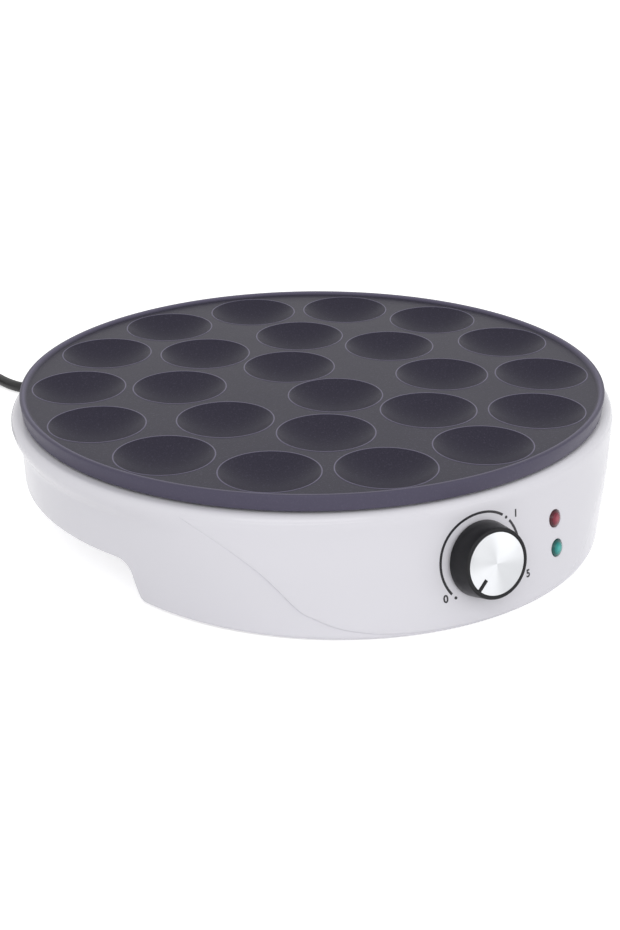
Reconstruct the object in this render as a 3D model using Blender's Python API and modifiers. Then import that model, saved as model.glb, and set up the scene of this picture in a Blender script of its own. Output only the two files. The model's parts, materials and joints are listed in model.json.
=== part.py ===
"""Mini pancake maker: a round cast plate with 24 hollows on a lobed plastic housing, with its heater,
thermostat, lamps and mains cord. Metres, +Z up, the table at Z = 0, the front towards -Y, and the origin
on the table under the middle of the plate."""
import bpy
import bmesh
import math
from mathutils import Matrix, Vector

# Fits and small values that all pieces share
FIT = 0.0003            # gap between pieces that touch
OVERRUN = 0.004         # how far a cutter runs past the face it cuts
MERGE = 0.000001        # vertices closer than this count as one
ROUND_STEPS = 54        # sides of a large turned piece
SMALL_STEPS = 16        # sides of a small turned piece

# Heights over the table, from the base cover up to the lip of the plate
BASE_FLAT = 0.0246
BASE_WALL = 0.002
BASE_INSIDE = BASE_FLAT + BASE_WALL
HEATER_ROOM = 0.0234        # from the base cover up to the reflector pan
PAN_FLOOR = BASE_INSIDE + HEATER_ROOM
PAN_DEPTH = 0.0106
PAN_WALL = 0.0008
SHELF_TOP = PAN_FLOOR + PAN_DEPTH
BAND_HEIGHT = 0.008         # of the plate's side
PLATE_TOP = SHELF_TOP + 2 * FIT + PAN_WALL + BAND_HEIGHT

# Cooking plate
PLATE_RADIUS = 0.150
LIP_HEIGHT = 0.0018
LIP_WIDTH = 0.0022
LIP_EDGE = 0.0008
BAND_TAPER = 0.001
BAND_WIDTH = 0.0045
WEB = 0.003             # thickness of the plate between the hollows
HOLLOW_DEPTH = 0.009
HOLLOW_WALL = 0.0028
HOLLOW_SHARES = (1.0, 0.74, 0.4)    # radii of a hollow's rings
BACK_SHARES = (0.94, 0.6)           # and of the upper and the lower edge of its back
OUTER_COUNT = 14
OUTER_LAND = 0.006405       # between neighbours of the outer hollows
EDGE_LAND = 0.0065          # between them and the rim
OUTER_CIRCLE = (PLATE_RADIUS - EDGE_LAND + OUTER_LAND / 2) / (1 + math.sin(math.pi / OUTER_COUNT))
HOLLOW_RADIUS = PLATE_RADIUS - EDGE_LAND - OUTER_CIRCLE
MIDDLE_LANDS = (0.0009, 0.0046)     # between the middle hollows and the outer ones
MIDDLE_TURNS = (23.9, 67.6)         # degrees from the front or back axis
MIDDLE_CIRCLES = [OUTER_CIRCLE - 2 * HOLLOW_RADIUS - land for land in MIDDLE_LANDS]
INNER_LAND = 0.0018         # between the two inner hollows
INNER_CIRCLE = HOLLOW_RADIUS + INNER_LAND / 2
SEAT_RING_INSET = 0.024     # from the outer hollows' circle
SEAT_RING_RADIUS = OUTER_CIRCLE - SEAT_RING_INSET
SEAT_RING_WIDTH = 0.0066
SEAT_RING_DROP = 0.0049
LUG_INSET = 0.0065          # from the rim
LUG_CIRCLE = PLATE_RADIUS - LUG_INSET
LUG_RADIUS = 0.004
LUG_DROP = 0.0031
LUG_AZIMUTHS = (51.4, 128.6, -51.4, -128.6)
CLAMP_BOSS_INSET = 0.012    # from the element
CLAMP_BOSS_CIRCLE = SEAT_RING_RADIUS - CLAMP_BOSS_INSET
CLAMP_BOSS_RADIUS = 0.004
CLAMP_AZIMUTHS = (0, 90, -90)

# Heating element and its clamps
ELEMENT_RADIUS = 0.0035
ELEMENT_ASIDE = 0.0102      # from the side of the terminal block to the element's end
ELEMENT_LEG = 0.008         # how far the ends run down
ELEMENT_BEND = 0.006
ELEMENT_STEPS = 22
TERMINAL_RADIUS = 0.0045
TERMINAL_HEIGHT = 0.006
TAB_LENGTH = 0.007
TAB_RADIUS = 0.0016
STRAP = 0.001
STRAP_WIDTH = 0.010
STRAP_REACH = 0.005         # past the element
STRAP_END = SEAT_RING_RADIUS + STRAP_REACH
CLAMP_SCREW_RADIUS = 0.0015
CLAMP_HEAD_RADIUS = 0.003
CLAMP_HEAD = 0.0018
CLAMP_SCREW_REACH = 0.004

# Housing
WALL = 0.0025
SHELF_INSET = 0.009         # how far the shelf reaches in under the plate
SHELF_INNER = PLATE_RADIUS - SHELF_INSET
SHOULDER_ROUND = 0.004
LIP_REVEAL = 0.005          # how far the rim stands out past the plate at the sides and the back
LIP_RADIUS = PLATE_RADIUS + LIP_REVEAL
FRONT_REVEAL = 0.0005       # the same over the front panel
FRONT_SHOULDER = PLATE_RADIUS + FRONT_REVEAL
SIDE_REVEAL = 0.0006        # the same for the wall under the rim
SIDE_WALL_TOP = PLATE_RADIUS + SIDE_REVEAL
SIDE_DRAFT = 0.0008
SIDE_WALL_LOW = SIDE_WALL_TOP - SIDE_DRAFT
RIM_HEIGHT = 0.0121
LIP_UNDER = SHELF_TOP - RIM_HEIGHT
WAIST_REVEAL = 0.0033       # the same for the front at the knob's height
FRONT_WAIST = PLATE_RADIUS + WAIST_REVEAL
WAIST_HEIGHT = 0.0286
FOOT_EDGE = 0.001           # height of the skirt's lower edge
FOOT_ROUND = 0.0030
FOOT_ROUND_SHARE = 0.3      # of FOOT_ROUND, where its middle corner lies
SKIRT_SHARES = (0.93, 0.855, 0.64, 0.38, 0.17)      # heights of the wall's rows
SHOULDER_TURNS = (0, 45, 90)
SIDE_POWER = 1.5            # how the wall between the legs draws in below the arches
FRONT_ARC_INSET = 0.0172
FRONT_ARC = PLATE_RADIUS - FRONT_ARC_INSET      # the skirt's lower edge is an arc of this radius
FRONT_ARC_FORWARD = 0.0266  # round a point this far in front of the axis
REAR_LEG_INSET = 0.006
REAR_LEG_RADIUS = PLATE_RADIUS - REAR_LEG_INSET
FRONT_BLEND = (45, 70)      # degrees from the front where the panel's form gives way to the round wall
LEG_SPANS = ((-64, 64), (131, 165), (195, 229))     # degrees from the front
ARCH_PLAY = 0.0002          # from the base cover up to the arches
ARCH_TOP = BASE_FLAT + ARCH_PLAY
ARCH_FILLET = 0.007
ARCH_DEPTH = 0.034          # radial reach of the arch cutter, inwards from the wall
HOUSING_COLUMNS = 60

# Front panel, a U-shaped pad on the front skirt
PAD_PROUD = 0.0012
PAD_SUNK = 0.0004           # how far its top edge lies under the skirt's face
PAD_ROOT = 0.001            # how deep it grows into the wall
PAD_TOP_SHARE = 5 / 6       # of the plate's radius, half the width at its top
PAD_DROP = 0.0018           # from the shelf down to its top edge
PAD_TOP = SHELF_TOP - PAD_DROP
PAD_LOW_SHARE = 8 / 15      # and at its foot
PAD_CORNER_HEIGHT = 0.0135
PAD_LOW = 0.0026
PAD_SPAN = 58               # degrees
PAD_HALF_TOP = PLATE_RADIUS * PAD_TOP_SHARE
PAD_HALF_LOW = PLATE_RADIUS * PAD_LOW_SHARE
PAD_CORNER_SHARE = 1.6      # width of its lower corners over their height
PAD_COLUMNS = 30
PAD_ROWS = 5

# Base cover, feet and their screws
WELL_FLOOR = 0.005
WELL_SLOPE = 0.008
FRONT_WELL_DEPTH = 0.042    # inwards from under the plate's rim
FRONT_WELL_INNER = PLATE_RADIUS - FRONT_WELL_DEPTH
REAR_WELL_DEPTH = 0.030
REAR_WELL_INNER = PLATE_RADIUS - REAR_WELL_DEPTH
BASE_CLEARANCE = 0.0006
WELL_END_DEGREES = 2.4      # a well's side wall stands this far inside its leg
WELL_SIDE_DEGREES = 1.2
BASE_STEP_DEGREES = 11      # about how far its columns stand apart
VENT_COUNT = 12
VENT_INSET = 0.030          # from the front wells
VENT_CIRCLE = FRONT_WELL_INNER - VENT_INSET
BASE_RING_INSET = 0.018     # from the circle of vents
BASE_RING = VENT_CIRCLE - BASE_RING_INSET
VENT_LENGTH = 0.022
VENT_WIDTH = 0.003
FRONT_FOOT_INSET = 0.022    # from the rim of the plate
REAR_FOOT_INSET = 0.0185
FOOT_TURNS = (47, -47, 148, -148)
FOOT_PLACES = [(PLATE_RADIUS - (FRONT_FOOT_INSET if abs(turn) < 90 else REAR_FOOT_INSET), turn)
               for turn in FOOT_TURNS]
FOOT_RADIUS = 0.008
FOOT_STEM = 0.003
FOOT_BARB = 0.0042
FOOT_TOP_SHARE = 0.9        # of the foot's radius, at its upper face
FOOT_TIP_SHARE = 0.6        # of its stem's radius, at the barb's tip
PILLAR_INSET = 0.0075       # from the rim of the plate
PILLAR_TURNS = (76, -76, 121, -121)
PILLAR_PLACES = [(PLATE_RADIUS - PILLAR_INSET, turn) for turn in PILLAR_TURNS]
PILLAR_RADIUS = 0.004
BASE_SCREW_RADIUS = 0.0015
BASE_HEAD_RADIUS = 0.0031
BASE_HEAD = 0.002
BASE_SCREW_REACH = 0.011
PLATE_SCREW_RADIUS = 0.0018
PLATE_HEAD_RADIUS = 0.0034
PLATE_HEAD = 0.002
PLATE_SCREW_REACH = 0.0045

# Reflector pan
PAN_FLANGE_INSET = 0.004    # from the rim of the plate
PAN_FLANGE = PLATE_RADIUS - PAN_FLANGE_INSET
PAN_PLAY = 0.0005           # to the shelf's inner edge
PAN_RIM = SHELF_INNER - PAN_PLAY
PAN_SLOPE = 0.0095
PAN_FLOOR_RADIUS = PAN_RIM - PAN_SLOPE
PAN_HOLE = 0.014
PAN_LEAD_HOLE = 0.0075

# Knob, its cap and the control's axis
KNOB_AZIMUTH = 0.5
KNOB_HEIGHT = 0.0312
KNOB_BASE_RADIUS = 0.0181
KNOB_FRONT_RADIUS = 0.0166
KNOB_DEPTH = 0.0116
KNOB_STANDOFF = 0.0009
KNOB_WALL = 0.0018
KNOB_EDGE = 0.0004
KNOB_RIM = 0.0017
CAP_RADIUS = 0.0147
CAP_THICKNESS = 0.0009
CAP_RECESS = 0.0010
POINTER_WIDTH = 0.0013
POINTER_LENGTH = 0.0056
POINTER_DEGREES = 225       # half past seven, as it stands at 0
HUB_RADIUS = 0.0052
KNOB_TURN_DEGREES = 270

# Thermostat behind the knob
SPINDLE_RADIUS = 0.003
SPINDLE_HOLE = 0.0042
SEAT_RADIUS = 0.0205
SEAT_DEPTH = 0.0062         # the flat seat for the thermostat, behind the panel's face
CASE_SIZE = (0.036, 0.024, 0.017)
CASE_WALL = 0.0012
CASE_SCREW_OFFSET = 0.0135
CASE_SCREW_RADIUS = 0.0015
CASE_HEAD_RADIUS = 0.0028
CASE_HEAD = 0.0014
CASE_RECESS = 0.0027        # depth of the screw heads' recess in the panel
CASE_SCREW_REACH = 0.0020   # how far it runs past the case's front
BASE_PLATE = 0.003
CAM_RADIUS = 0.0075
CAM_THICKNESS = 0.0016
CAM_RISE = 0.001
CAM_DEPTH = 0.010           # the cam's rear face, behind the panel's face
CAM_COLUMNS = 24
CAM_LEAD_DEGREES = 20       # how far the ramp runs past each end of the knob's turn
LEVER_SIZE = (0.021, 0.005, 0.0008)
LEVER_PIVOT = -0.0135
LEVER_NOSE = 0.0055
LEVER_NOSE_RADIUS = 0.0012
PIVOT_RADIUS = 0.0011
BELLOWS_RADIUS = 0.0085
BELLOWS_NECK = 0.0065
BELLOWS_FOLDS = 3
BELLOWS_BUTTON = 0.0012     # radius and height of its push button
BELLOWS_PLAY = 0.0011       # room behind the lever, which swings back into it
CAPILLARY_RADIUS = 0.0008
BULB_RADIUS = 0.0025
BULB_LENGTH = 0.040
BULB_ASIDE = 0.020
BULB_INSET = 0.020          # behind the front clamp
BULB_PLACE = (-BULB_ASIDE, BULB_INSET - CLAMP_BOSS_CIRCLE)
BULB_CLIP_INSET = 0.008     # from the bulb's end
BULB_CLIP_ASIDE = BULB_LENGTH / 2 - BULB_CLIP_INSET
BULB_CLIP_WIDTH = 0.006
BULB_CLIP_WALL = 0.0007
BULB_CLIP_FOOT = 0.006

# Lamps
LAMP_AZIMUTH = 18.7
LAMP_HEIGHTS = (0.0361, 0.0214)
LENS_RADIUS = 0.0040
LENS_DOME = 0.0013
DOME_SHARE = 0.75
LENS_HOLE_GAP = 0.0003
LENS_FLANGE = 0.0052
LENS_FLANGE_THICKNESS = 0.001
LENS_LENGTH = 0.0085
SOCKET_RADIUS = 0.0058
SOCKET_LENGTH = 0.010
SOCKET_FLOOR = 0.0015
NEON_RADIUS = 0.0026

# Mains connection inside
BLOCK_SIZE = (0.026, 0.014, 0.013)
BLOCK_INSET = 0.028         # ahead of the element's ends
BLOCK_PLACE = SEAT_RING_RADIUS - BLOCK_INSET
BLOCK_SLOT = 0.0015
BLOCK_SLOT_DEPTH = 0.005
BLOCK_POLE = 0.008          # from one pole to the next
FUSE_RADIUS = 0.0022
FUSE_LENGTH = 0.010
FUSE_PIN_RADIUS = 0.0008
FUSE_PIN = 0.003
WIRE_RADIUS = 0.0011
WIRE_STUB = 0.012           # a wire's straight start and end
WIRE_SPACING = 0.011
WIRE_LIFT = 0.0013          # from the base cover, for the sag between its points
SUPPLY_RADIUS = 0.00325
SADDLE_WALL = 0.002
SADDLE_WIDTH = 0.008
SADDLE_FOOT = 0.007
SADDLE_INSET = 0.022        # from the rim of the plate
SADDLE_PLACE = PLATE_RADIUS - SADDLE_INSET
SADDLE_SCREW_RADIUS = 0.0013
SADDLE_HEAD_RADIUS = 0.0026
SADDLE_HEAD = 0.0016
SADDLE_SCREW_REACH = 0.0045
SADDLE_BOSS = 0.0036
SADDLE_BED = 0.00435        # height of the lead's bed over the base cover

# Mains cord, its strain relief, coil and plug
CORD_RADIUS = 0.00325
CORD_EXIT_HEIGHT = BASE_INSIDE + SADDLE_BED + FIT + SUPPLY_RADIUS
RELIEF_NECK = 0.0056
RELIEF_FLANGE = 0.0075
RELIEF_FLANGE_THICKNESS = 0.002
RELIEF_PLAY = 0.0009        # room for the curve of the wall under its flanges
RELIEF_ROOT = 0.0060
RELIEF_END = 0.0044
RELIEF_LENGTH = 0.0203
# The cord's route from the strain relief to its coil, chosen by hand
CORD_ROUTE = (
    (0.0, 0.1708, 0.0345), (0.0, 0.1768, 0.0345), (-0.0004, 0.1860, 0.0338),
    (-0.0024, 0.1955, 0.0310), (-0.0068, 0.2046, 0.0255), (-0.0140, 0.2122, 0.0181),
    (-0.0238, 0.2172, 0.0109), (-0.0350, 0.2195, 0.0058), (-0.0470, 0.2203, 0.0037),
    (-0.0590, 0.2218, 0.0034), (-0.0695, 0.2270, 0.0034), (-0.0770, 0.2350, 0.0034),
    (-0.0812, 0.2450, 0.0034), (-0.0834, 0.2560, 0.0034), (-0.0850, 0.2680, 0.0035),
    (-0.0862, 0.2790, 0.0038), (-0.0865, 0.2865, 0.0040), (-0.0865, 0.2932, 0.0040))
CORD_SPACING = 0.0155
COIL_CENTRE = (-0.1270, 0.3000)
COIL_HEIGHT = 0.0040
COIL_OUTER = 0.0405
COIL_PITCH = 0.0070
COIL_TURNS = 3.5
COIL_POINTS_PER_TURN = 24
TIE_WALL = 0.0004
TIE_WIDTH = 0.005
TIE_DEGREES = 90
# The cord's route from its coil to the plug, chosen by hand
TAIL_ROUTE = (
    (-0.1675, 0.2935, 0.0111), (-0.1676, 0.2850, 0.0120), (-0.1680, 0.2740, 0.0143),
    (-0.1687, 0.2630, 0.0170), (-0.1695, 0.2520, 0.0186), (-0.1700, 0.2420, 0.0190))
PLUG_DISC_RADIUS = 0.0187
PLUG_EDGE = 0.001
PLUG_DISC = 0.013
PLUG_WAIST = 0.0115
PLUG_WAIST_LENGTH = 0.018
PLUG_TAIL = 0.0050
PLUG_TAIL_LENGTH = 0.016
PIN_RADIUS = 0.0024
PIN_LENGTH = 0.019
PIN_SPACING = 0.019
PIN_TIP = 0.0008


# Names for heights and radii that follow from the values above
SURFACE = PLATE_TOP - LIP_HEIGHT
UNDERSIDE = SURFACE - WEB
ELEMENT_HEIGHT = UNDERSIDE - SEAT_RING_DROP - FIT - ELEMENT_RADIUS
LUG_BOTTOM = UNDERSIDE - LUG_DROP
SHELF_UNDER = SHELF_TOP - WALL
PAN_FLANGE_TOP = SHELF_TOP + FIT + PAN_WALL
ELEMENT_GAP_DEGREES = math.degrees(math.asin((BLOCK_SIZE[0] / 2 + ELEMENT_ASIDE) / SEAT_RING_RADIUS))


def clear_scene():
    for thing in list(bpy.data.objects):
        bpy.data.objects.remove(thing, do_unlink=True)


def collection(name):
    group = bpy.data.collections.new(name)
    bpy.context.scene.collection.children.link(group)
    return group


def material(name, colour, roughness, metallic=0.0):
    made = bpy.data.materials.new(name)
    made.use_nodes = True
    shader = made.node_tree.nodes["Principled BSDF"]
    shader.inputs["Base Color"].default_value = (*colour, 1.0)
    shader.inputs["Roughness"].default_value = roughness
    shader.inputs["Metallic"].default_value = metallic
    return made


def polar(radius, azimuth, height=0.0):
    """A point at an azimuth counted in degrees from the front, positive towards +X."""
    angle = math.radians(azimuth)
    return Vector((radius * math.sin(angle), -radius * math.cos(angle), height))


def place(thing, paint=None, frame=None, group=None):
    """Links an object into its collection, with its material and its frame."""
    (group or PARTS).objects.link(thing)
    if paint:
        thing.data.materials.clear()
        thing.data.materials.append(paint)
    if frame is not None:
        thing.matrix_world = frame
    return thing


def from_bmesh(name, shape, paint=None, frame=None, group=None):
    mesh = bpy.data.meshes.new(name)
    shape.to_mesh(mesh)
    shape.free()
    return place(bpy.data.objects.new(name, mesh), paint, frame, group)


def evaluated_mesh(thing):
    depsgraph = bpy.context.evaluated_depsgraph_get()
    mesh = bpy.data.meshes.new_from_object(thing.evaluated_get(depsgraph))
    shape = bmesh.new()
    shape.from_mesh(mesh)
    bmesh.ops.remove_doubles(shape, verts=shape.verts, dist=MERGE)
    shape.to_mesh(mesh)
    shape.free()
    return mesh


def frozen(thing):
    """The same object with its modifiers or its curve made into a plain mesh."""
    name, frame, groups = thing.name, thing.matrix_world.copy(), thing.users_collection
    mesh = evaluated_mesh(thing)
    paint = thing.data.materials[0] if thing.data.materials else None
    bpy.data.objects.remove(thing, do_unlink=True)
    return place(bpy.data.objects.new(name, mesh), paint, frame, groups[0])


def turned(name, outline, paint=None, frame=None, steps=SMALL_STEPS, closed=False, group=None):
    """A turned piece: its outline of (radius, height) runs down the outer side."""
    shape = bmesh.new()
    corners = [shape.verts.new((radius, 0.0, height)) for radius, height in outline]
    for first, second in zip(corners, corners[1:] + corners[:1] if closed else corners[1:]):
        shape.edges.new((first, second))
    thing = from_bmesh(name, shape, paint, frame, group)
    screw = thing.modifiers.new("turn", "SCREW")
    screw.axis = "Z"
    screw.steps = screw.render_steps = steps
    screw.use_merge_vertices = True
    screw.merge_threshold = MERGE
    screw.use_smooth_shade = True
    return thing


def rod(name, radius, low, high, paint=None, frame=None, steps=SMALL_STEPS, group=None):
    outline = ((0, high), (radius, high), (radius, low), (0, low))
    return turned(name, outline, paint, frame, steps, group=group)


def screw(name, radius, head_radius, head, reach, paint, frame, steps=8):
    """A screw whose head's seat lies at its frame's origin and whose shank runs to +Z."""
    outline = ((0, reach), (radius, reach), (radius, 0),
               (head_radius, 0), (head_radius, -head), (0, -head))
    return turned(name, outline, paint, frame, steps)


def block(name, size, paint=None, frame=None, group=None, centre=(0, 0, 0)):
    shape = bmesh.new()
    bmesh.ops.create_cube(shape, size=1.0)
    bmesh.ops.scale(shape, vec=Vector(size), verts=shape.verts)
    bmesh.ops.translate(shape, vec=Vector(centre), verts=shape.verts)
    return from_bmesh(name, shape, paint, frame, group)


def flat(name, outline, thickness, paint=None, frame=None, group=None, hole=None):
    """A flat outline in X and Y, with its thickness centred on Z = 0."""
    curve = bpy.data.curves.new(name, "CURVE")
    curve.dimensions = "2D"
    curve.fill_mode = "BOTH"
    curve.extrude = thickness / 2
    for corners in (outline, hole) if hole else (outline,):
        spline = curve.splines.new("POLY")
        spline.points.add(len(corners) - 1)
        for point, corner in zip(spline.points, corners):
            point.co = (corner[0], corner[1], 0.0, 1.0)
        spline.use_cyclic_u = True
    return frozen(place(bpy.data.objects.new(name, curve), paint, frame, group))


def tube(name, points, radius, paint=None, resolution=2, group=None):
    curve = bpy.data.curves.new(name, "CURVE")
    curve.dimensions = "3D"
    curve.bevel_depth = radius
    curve.bevel_resolution = resolution
    curve.use_fill_caps = True
    spline = curve.splines.new("POLY")
    spline.points.add(len(points) - 1)
    for point, corner in zip(spline.points, points):
        point.co = (*corner, 1.0)
    return frozen(place(bpy.data.objects.new(name, curve), paint, None, group))


def smooth_route(corners, spacing):
    """Evenly spaced points on a smooth curve through the given corners."""
    points = [Vector(corner) for corner in corners]
    ends = [2 * points[0] - points[1]] + points + [2 * points[-1] - points[-2]]
    fine = []
    for a, b, c, d in zip(ends, ends[1:], ends[2:], ends[3:]):
        for step in range(12):
            t = step / 12
            fine.append(0.5 * (2 * b + (c - a) * t + (2 * a - 5 * b + 4 * c - d) * t * t
                               + (3 * b - a - 3 * c + d) * t ** 3))
    fine.append(points[-1])
    length = sum((b - a).length for a, b in zip(fine, fine[1:]))
    count = max(2, round(length / spacing))
    even, walked, goal = [fine[0]], 0.0, length / count
    for a, b in zip(fine, fine[1:]):
        step = (b - a).length
        while walked + step >= goal - MERGE and len(even) < count:
            even.append(a.lerp(b, (goal - walked) / step))
            goal += length / count
        walked += step
    return even + [fine[-1]]


def squared_route(corners, spacing):
    """As smooth_route, but its first and its last stretch stay straight."""
    return [Vector(corners[0])] + smooth_route(corners[1:-1], spacing) + [Vector(corners[-1])]


def combine(thing, tool, operation):
    modifier = thing.modifiers.new(operation.lower(), "BOOLEAN")
    modifier.operation = operation
    modifier.solver = "EXACT"
    modifier.object = tool
    tool.hide_render = True
    tool.display_type = "WIRE"
    return thing


def cut(thing, tool):
    return combine(thing, tool, "DIFFERENCE")


def join(thing, tool):
    return combine(thing, tool, "UNION")


def repeated(name, thing, frames):
    """One mesh with a copy of another object's shape at each frame, to cut or join a whole pattern."""
    mesh = evaluated_mesh(thing)
    shape = bmesh.new()
    for frame in frames:
        before = len(shape.verts)
        shape.from_mesh(mesh)
        shape.verts.ensure_lookup_table()
        bmesh.ops.transform(shape, matrix=frame, verts=shape.verts[before:])
    bpy.data.objects.remove(thing, do_unlink=True)
    return from_bmesh(name, shape, group=CUTTERS)


def warped_grid(name, columns, rows, spot, paint=None, group=None):
    """A sheet of columns by rows faces whose corners lie where spot(column, row) says."""
    shape = bmesh.new()
    bmesh.ops.create_grid(shape, x_segments=columns, y_segments=rows, size=0.5)
    for corner in shape.verts:
        column = round((corner.co.x + 0.5) * columns)
        row = round((corner.co.y + 0.5) * rows)
        corner.co = spot(column, row)
    bmesh.ops.remove_doubles(shape, verts=shape.verts, dist=MERGE)
    return from_bmesh(name, shape, paint, group=group)


def thickened(thing, thickness):
    wall = thing.modifiers.new("wall", "SOLIDIFY")
    wall.thickness = thickness
    wall.offset = -1.0
    wall.use_even_offset = True
    return frozen(thing)


def upright(place_xy, height=0.0):
    return Matrix.Translation((place_xy[0], place_xy[1], height))


def ease(value, low, high):
    """Rises smoothly from 0 at low to 1 at high."""
    share = min(1.0, max(0.0, (value - low) / (high - low)))
    return share * share * (3 - 2 * share)


# The outer form of the housing, which its shell, the panel, the base cover and the control follow

def from_front(azimuth):
    """Degrees from the front, 0 to 180, for any azimuth."""
    return abs((azimuth + 180) % 360 - 180)


def front_share(azimuth):
    low, high = FRONT_BLEND
    return 1.0 - ease(from_front(azimuth), low, high)


def shoulder_radius(azimuth):
    turn = math.radians(min(1.0, from_front(azimuth) / FRONT_BLEND[1]) * 180)
    share = (1 + math.cos(turn)) / 2
    return LIP_RADIUS + (FRONT_SHOULDER - LIP_RADIUS) * share


def foot_radius(azimuth):
    """Radius of the skirt's lower edge: an arc in front, a circle at the back legs."""
    angle = math.radians(min(from_front(azimuth), LEG_SPANS[0][1]))
    aside = FRONT_ARC_FORWARD * math.sin(angle)
    front = FRONT_ARC_FORWARD * math.cos(angle) + math.sqrt(FRONT_ARC ** 2 - aside ** 2)
    share = ease(from_front(azimuth), LEG_SPANS[0][1], LEG_SPANS[1][0])
    return front + (REAR_LEG_RADIUS - front) * share


def skirt_radius(azimuth, height):
    """Outer radius of the wall under the shoulder."""
    shoulder, foot = shoulder_radius(azimuth), foot_radius(azimuth)
    top, waist, low = SHELF_TOP - SHOULDER_ROUND, WAIST_HEIGHT, FOOT_EDGE
    a = (height - waist) * (height - low) / ((top - waist) * (top - low))
    b = (height - top) * (height - low) / ((waist - top) * (waist - low))
    c = (height - top) * (height - waist) / ((low - top) * (low - waist))
    front = a * shoulder + b * FRONT_WAIST + c * foot
    slope = (SIDE_WALL_TOP - SIDE_WALL_LOW) / (LIP_UNDER - ARCH_TOP)
    side = SIDE_WALL_LOW + slope * (height - ARCH_TOP)
    side += (shoulder - side) * ease(height, LIP_UNDER, top)
    if height < ARCH_TOP:
        drop = (ARCH_TOP - height) / (ARCH_TOP - FOOT_EDGE)
        side = SIDE_WALL_LOW + (foot - SIDE_WALL_LOW) * drop ** SIDE_POWER
    share = front_share(azimuth)
    return share * front + (1 - share) * side


def pad_proud(height):
    """How far the front panel stands out: it sinks into the skirt at its top edge."""
    rise = ease(PAD_TOP - height, 0, PAD_TOP - WAIST_HEIGHT)
    return (PAD_PROUD + PAD_SUNK) * rise - PAD_SUNK


def panel_point(azimuth, height):
    return polar(skirt_radius(azimuth, height) + pad_proud(height), azimuth, height)


def panel_frame(azimuth, height):
    """A frame on the panel: +Z out of it, +X to the right as seen from the front, +Y up along it."""
    step = WALL
    here = panel_point(azimuth, height)
    up = (panel_point(azimuth, height + step) - panel_point(azimuth, height - step)).normalized()
    side = polar(1, azimuth + 90)
    out = side.cross(up).normalized()
    frame = Matrix((side, up, out)).transposed().to_4x4()
    frame.translation = here
    return frame


# Cooking plate

def hollow_places():
    step = 360 / OUTER_COUNT
    places = [polar(OUTER_CIRCLE, step * (index + 0.5)) for index in range(OUTER_COUNT)]
    for circle, angle in zip(MIDDLE_CIRCLES, MIDDLE_TURNS):
        places += [polar(circle, turn) for turn in (angle, -angle, 180 - angle, 180 + angle)]
    return places + [polar(INNER_CIRCLE, turn) for turn in (0, 180)]


def cap_height(radius):
    """Height of a hollow's surface at a radius."""
    ball = (HOLLOW_RADIUS ** 2 + HOLLOW_DEPTH ** 2) / (2 * HOLLOW_DEPTH)
    return SURFACE + ball - HOLLOW_DEPTH - math.sqrt(ball ** 2 - radius ** 2)


def cooking_plate():
    inside = PLATE_RADIUS - BAND_WIDTH
    bottom = PLATE_TOP - BAND_HEIGHT
    seat = (SEAT_RING_RADIUS + SEAT_RING_WIDTH / 2, SEAT_RING_RADIUS - SEAT_RING_WIDTH / 2)
    seat_bottom = UNDERSIDE - SEAT_RING_DROP
    plate = turned("cooking_plate", (
        (0, SURFACE), (PLATE_RADIUS - LIP_WIDTH - LIP_HEIGHT, SURFACE),
        (PLATE_RADIUS - LIP_WIDTH, PLATE_TOP), (PLATE_RADIUS - LIP_EDGE, PLATE_TOP),
        (PLATE_RADIUS, PLATE_TOP - LIP_EDGE),
        (PLATE_RADIUS - BAND_TAPER, bottom), (inside, bottom), (inside, UNDERSIDE),
        (seat[0], UNDERSIDE), (seat[0], seat_bottom), (seat[1], seat_bottom), (seat[1], UNDERSIDE),
        (0, UNDERSIDE)), PLATE_COAT, steps=ROUND_STEPS)
    frames = [Matrix.Translation(spot) for spot in hollow_places()]
    root, back = SURFACE - OVERRUN / 2, SURFACE - HOLLOW_DEPTH - HOLLOW_WALL
    wide, narrow = (HOLLOW_RADIUS * share for share in BACK_SHARES)
    bump = ((0, root), (wide, root), (narrow, back), (0, back))
    join(plate, repeated("hollow_backs", turned("hollow_back", bump, steps=8), frames))
    dip = [(0, SURFACE + OVERRUN), (HOLLOW_RADIUS, SURFACE + OVERRUN)]
    dip += [(HOLLOW_RADIUS * share, cap_height(HOLLOW_RADIUS * share)) for share in HOLLOW_SHARES]
    dip += [(0, cap_height(0))]
    lug = rod("lug", LUG_RADIUS, LUG_BOTTOM, SURFACE - OVERRUN / 2, steps=12)
    lug_frames = [Matrix.Translation(polar(LUG_CIRCLE, turn)) for turn in LUG_AZIMUTHS]
    join(plate, repeated("lugs", lug, lug_frames))
    boss = rod("boss", CLAMP_BOSS_RADIUS, seat_bottom, SURFACE - OVERRUN / 2, steps=12)
    boss_frames = [Matrix.Translation(polar(CLAMP_BOSS_CIRCLE, turn)) for turn in CLAMP_AZIMUTHS]
    join(plate, repeated("clamp_bosses", boss, boss_frames))
    cut(plate, repeated("hollows", turned("hollow", dip, steps=14), frames))
    depth = PLATE_SCREW_REACH + FIT
    hole = rod("lug_hole", PLATE_SCREW_RADIUS + FIT, LUG_BOTTOM - OVERRUN, LUG_BOTTOM + depth, steps=12)
    cut(plate, repeated("lug_holes", hole, lug_frames))
    depth = CLAMP_SCREW_REACH + FIT
    hole = rod("boss_hole", CLAMP_SCREW_RADIUS + FIT, seat_bottom - OVERRUN, seat_bottom + depth, steps=12)
    cut(plate, repeated("boss_holes", hole, boss_frames))
    return plate


# Heating element

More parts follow.
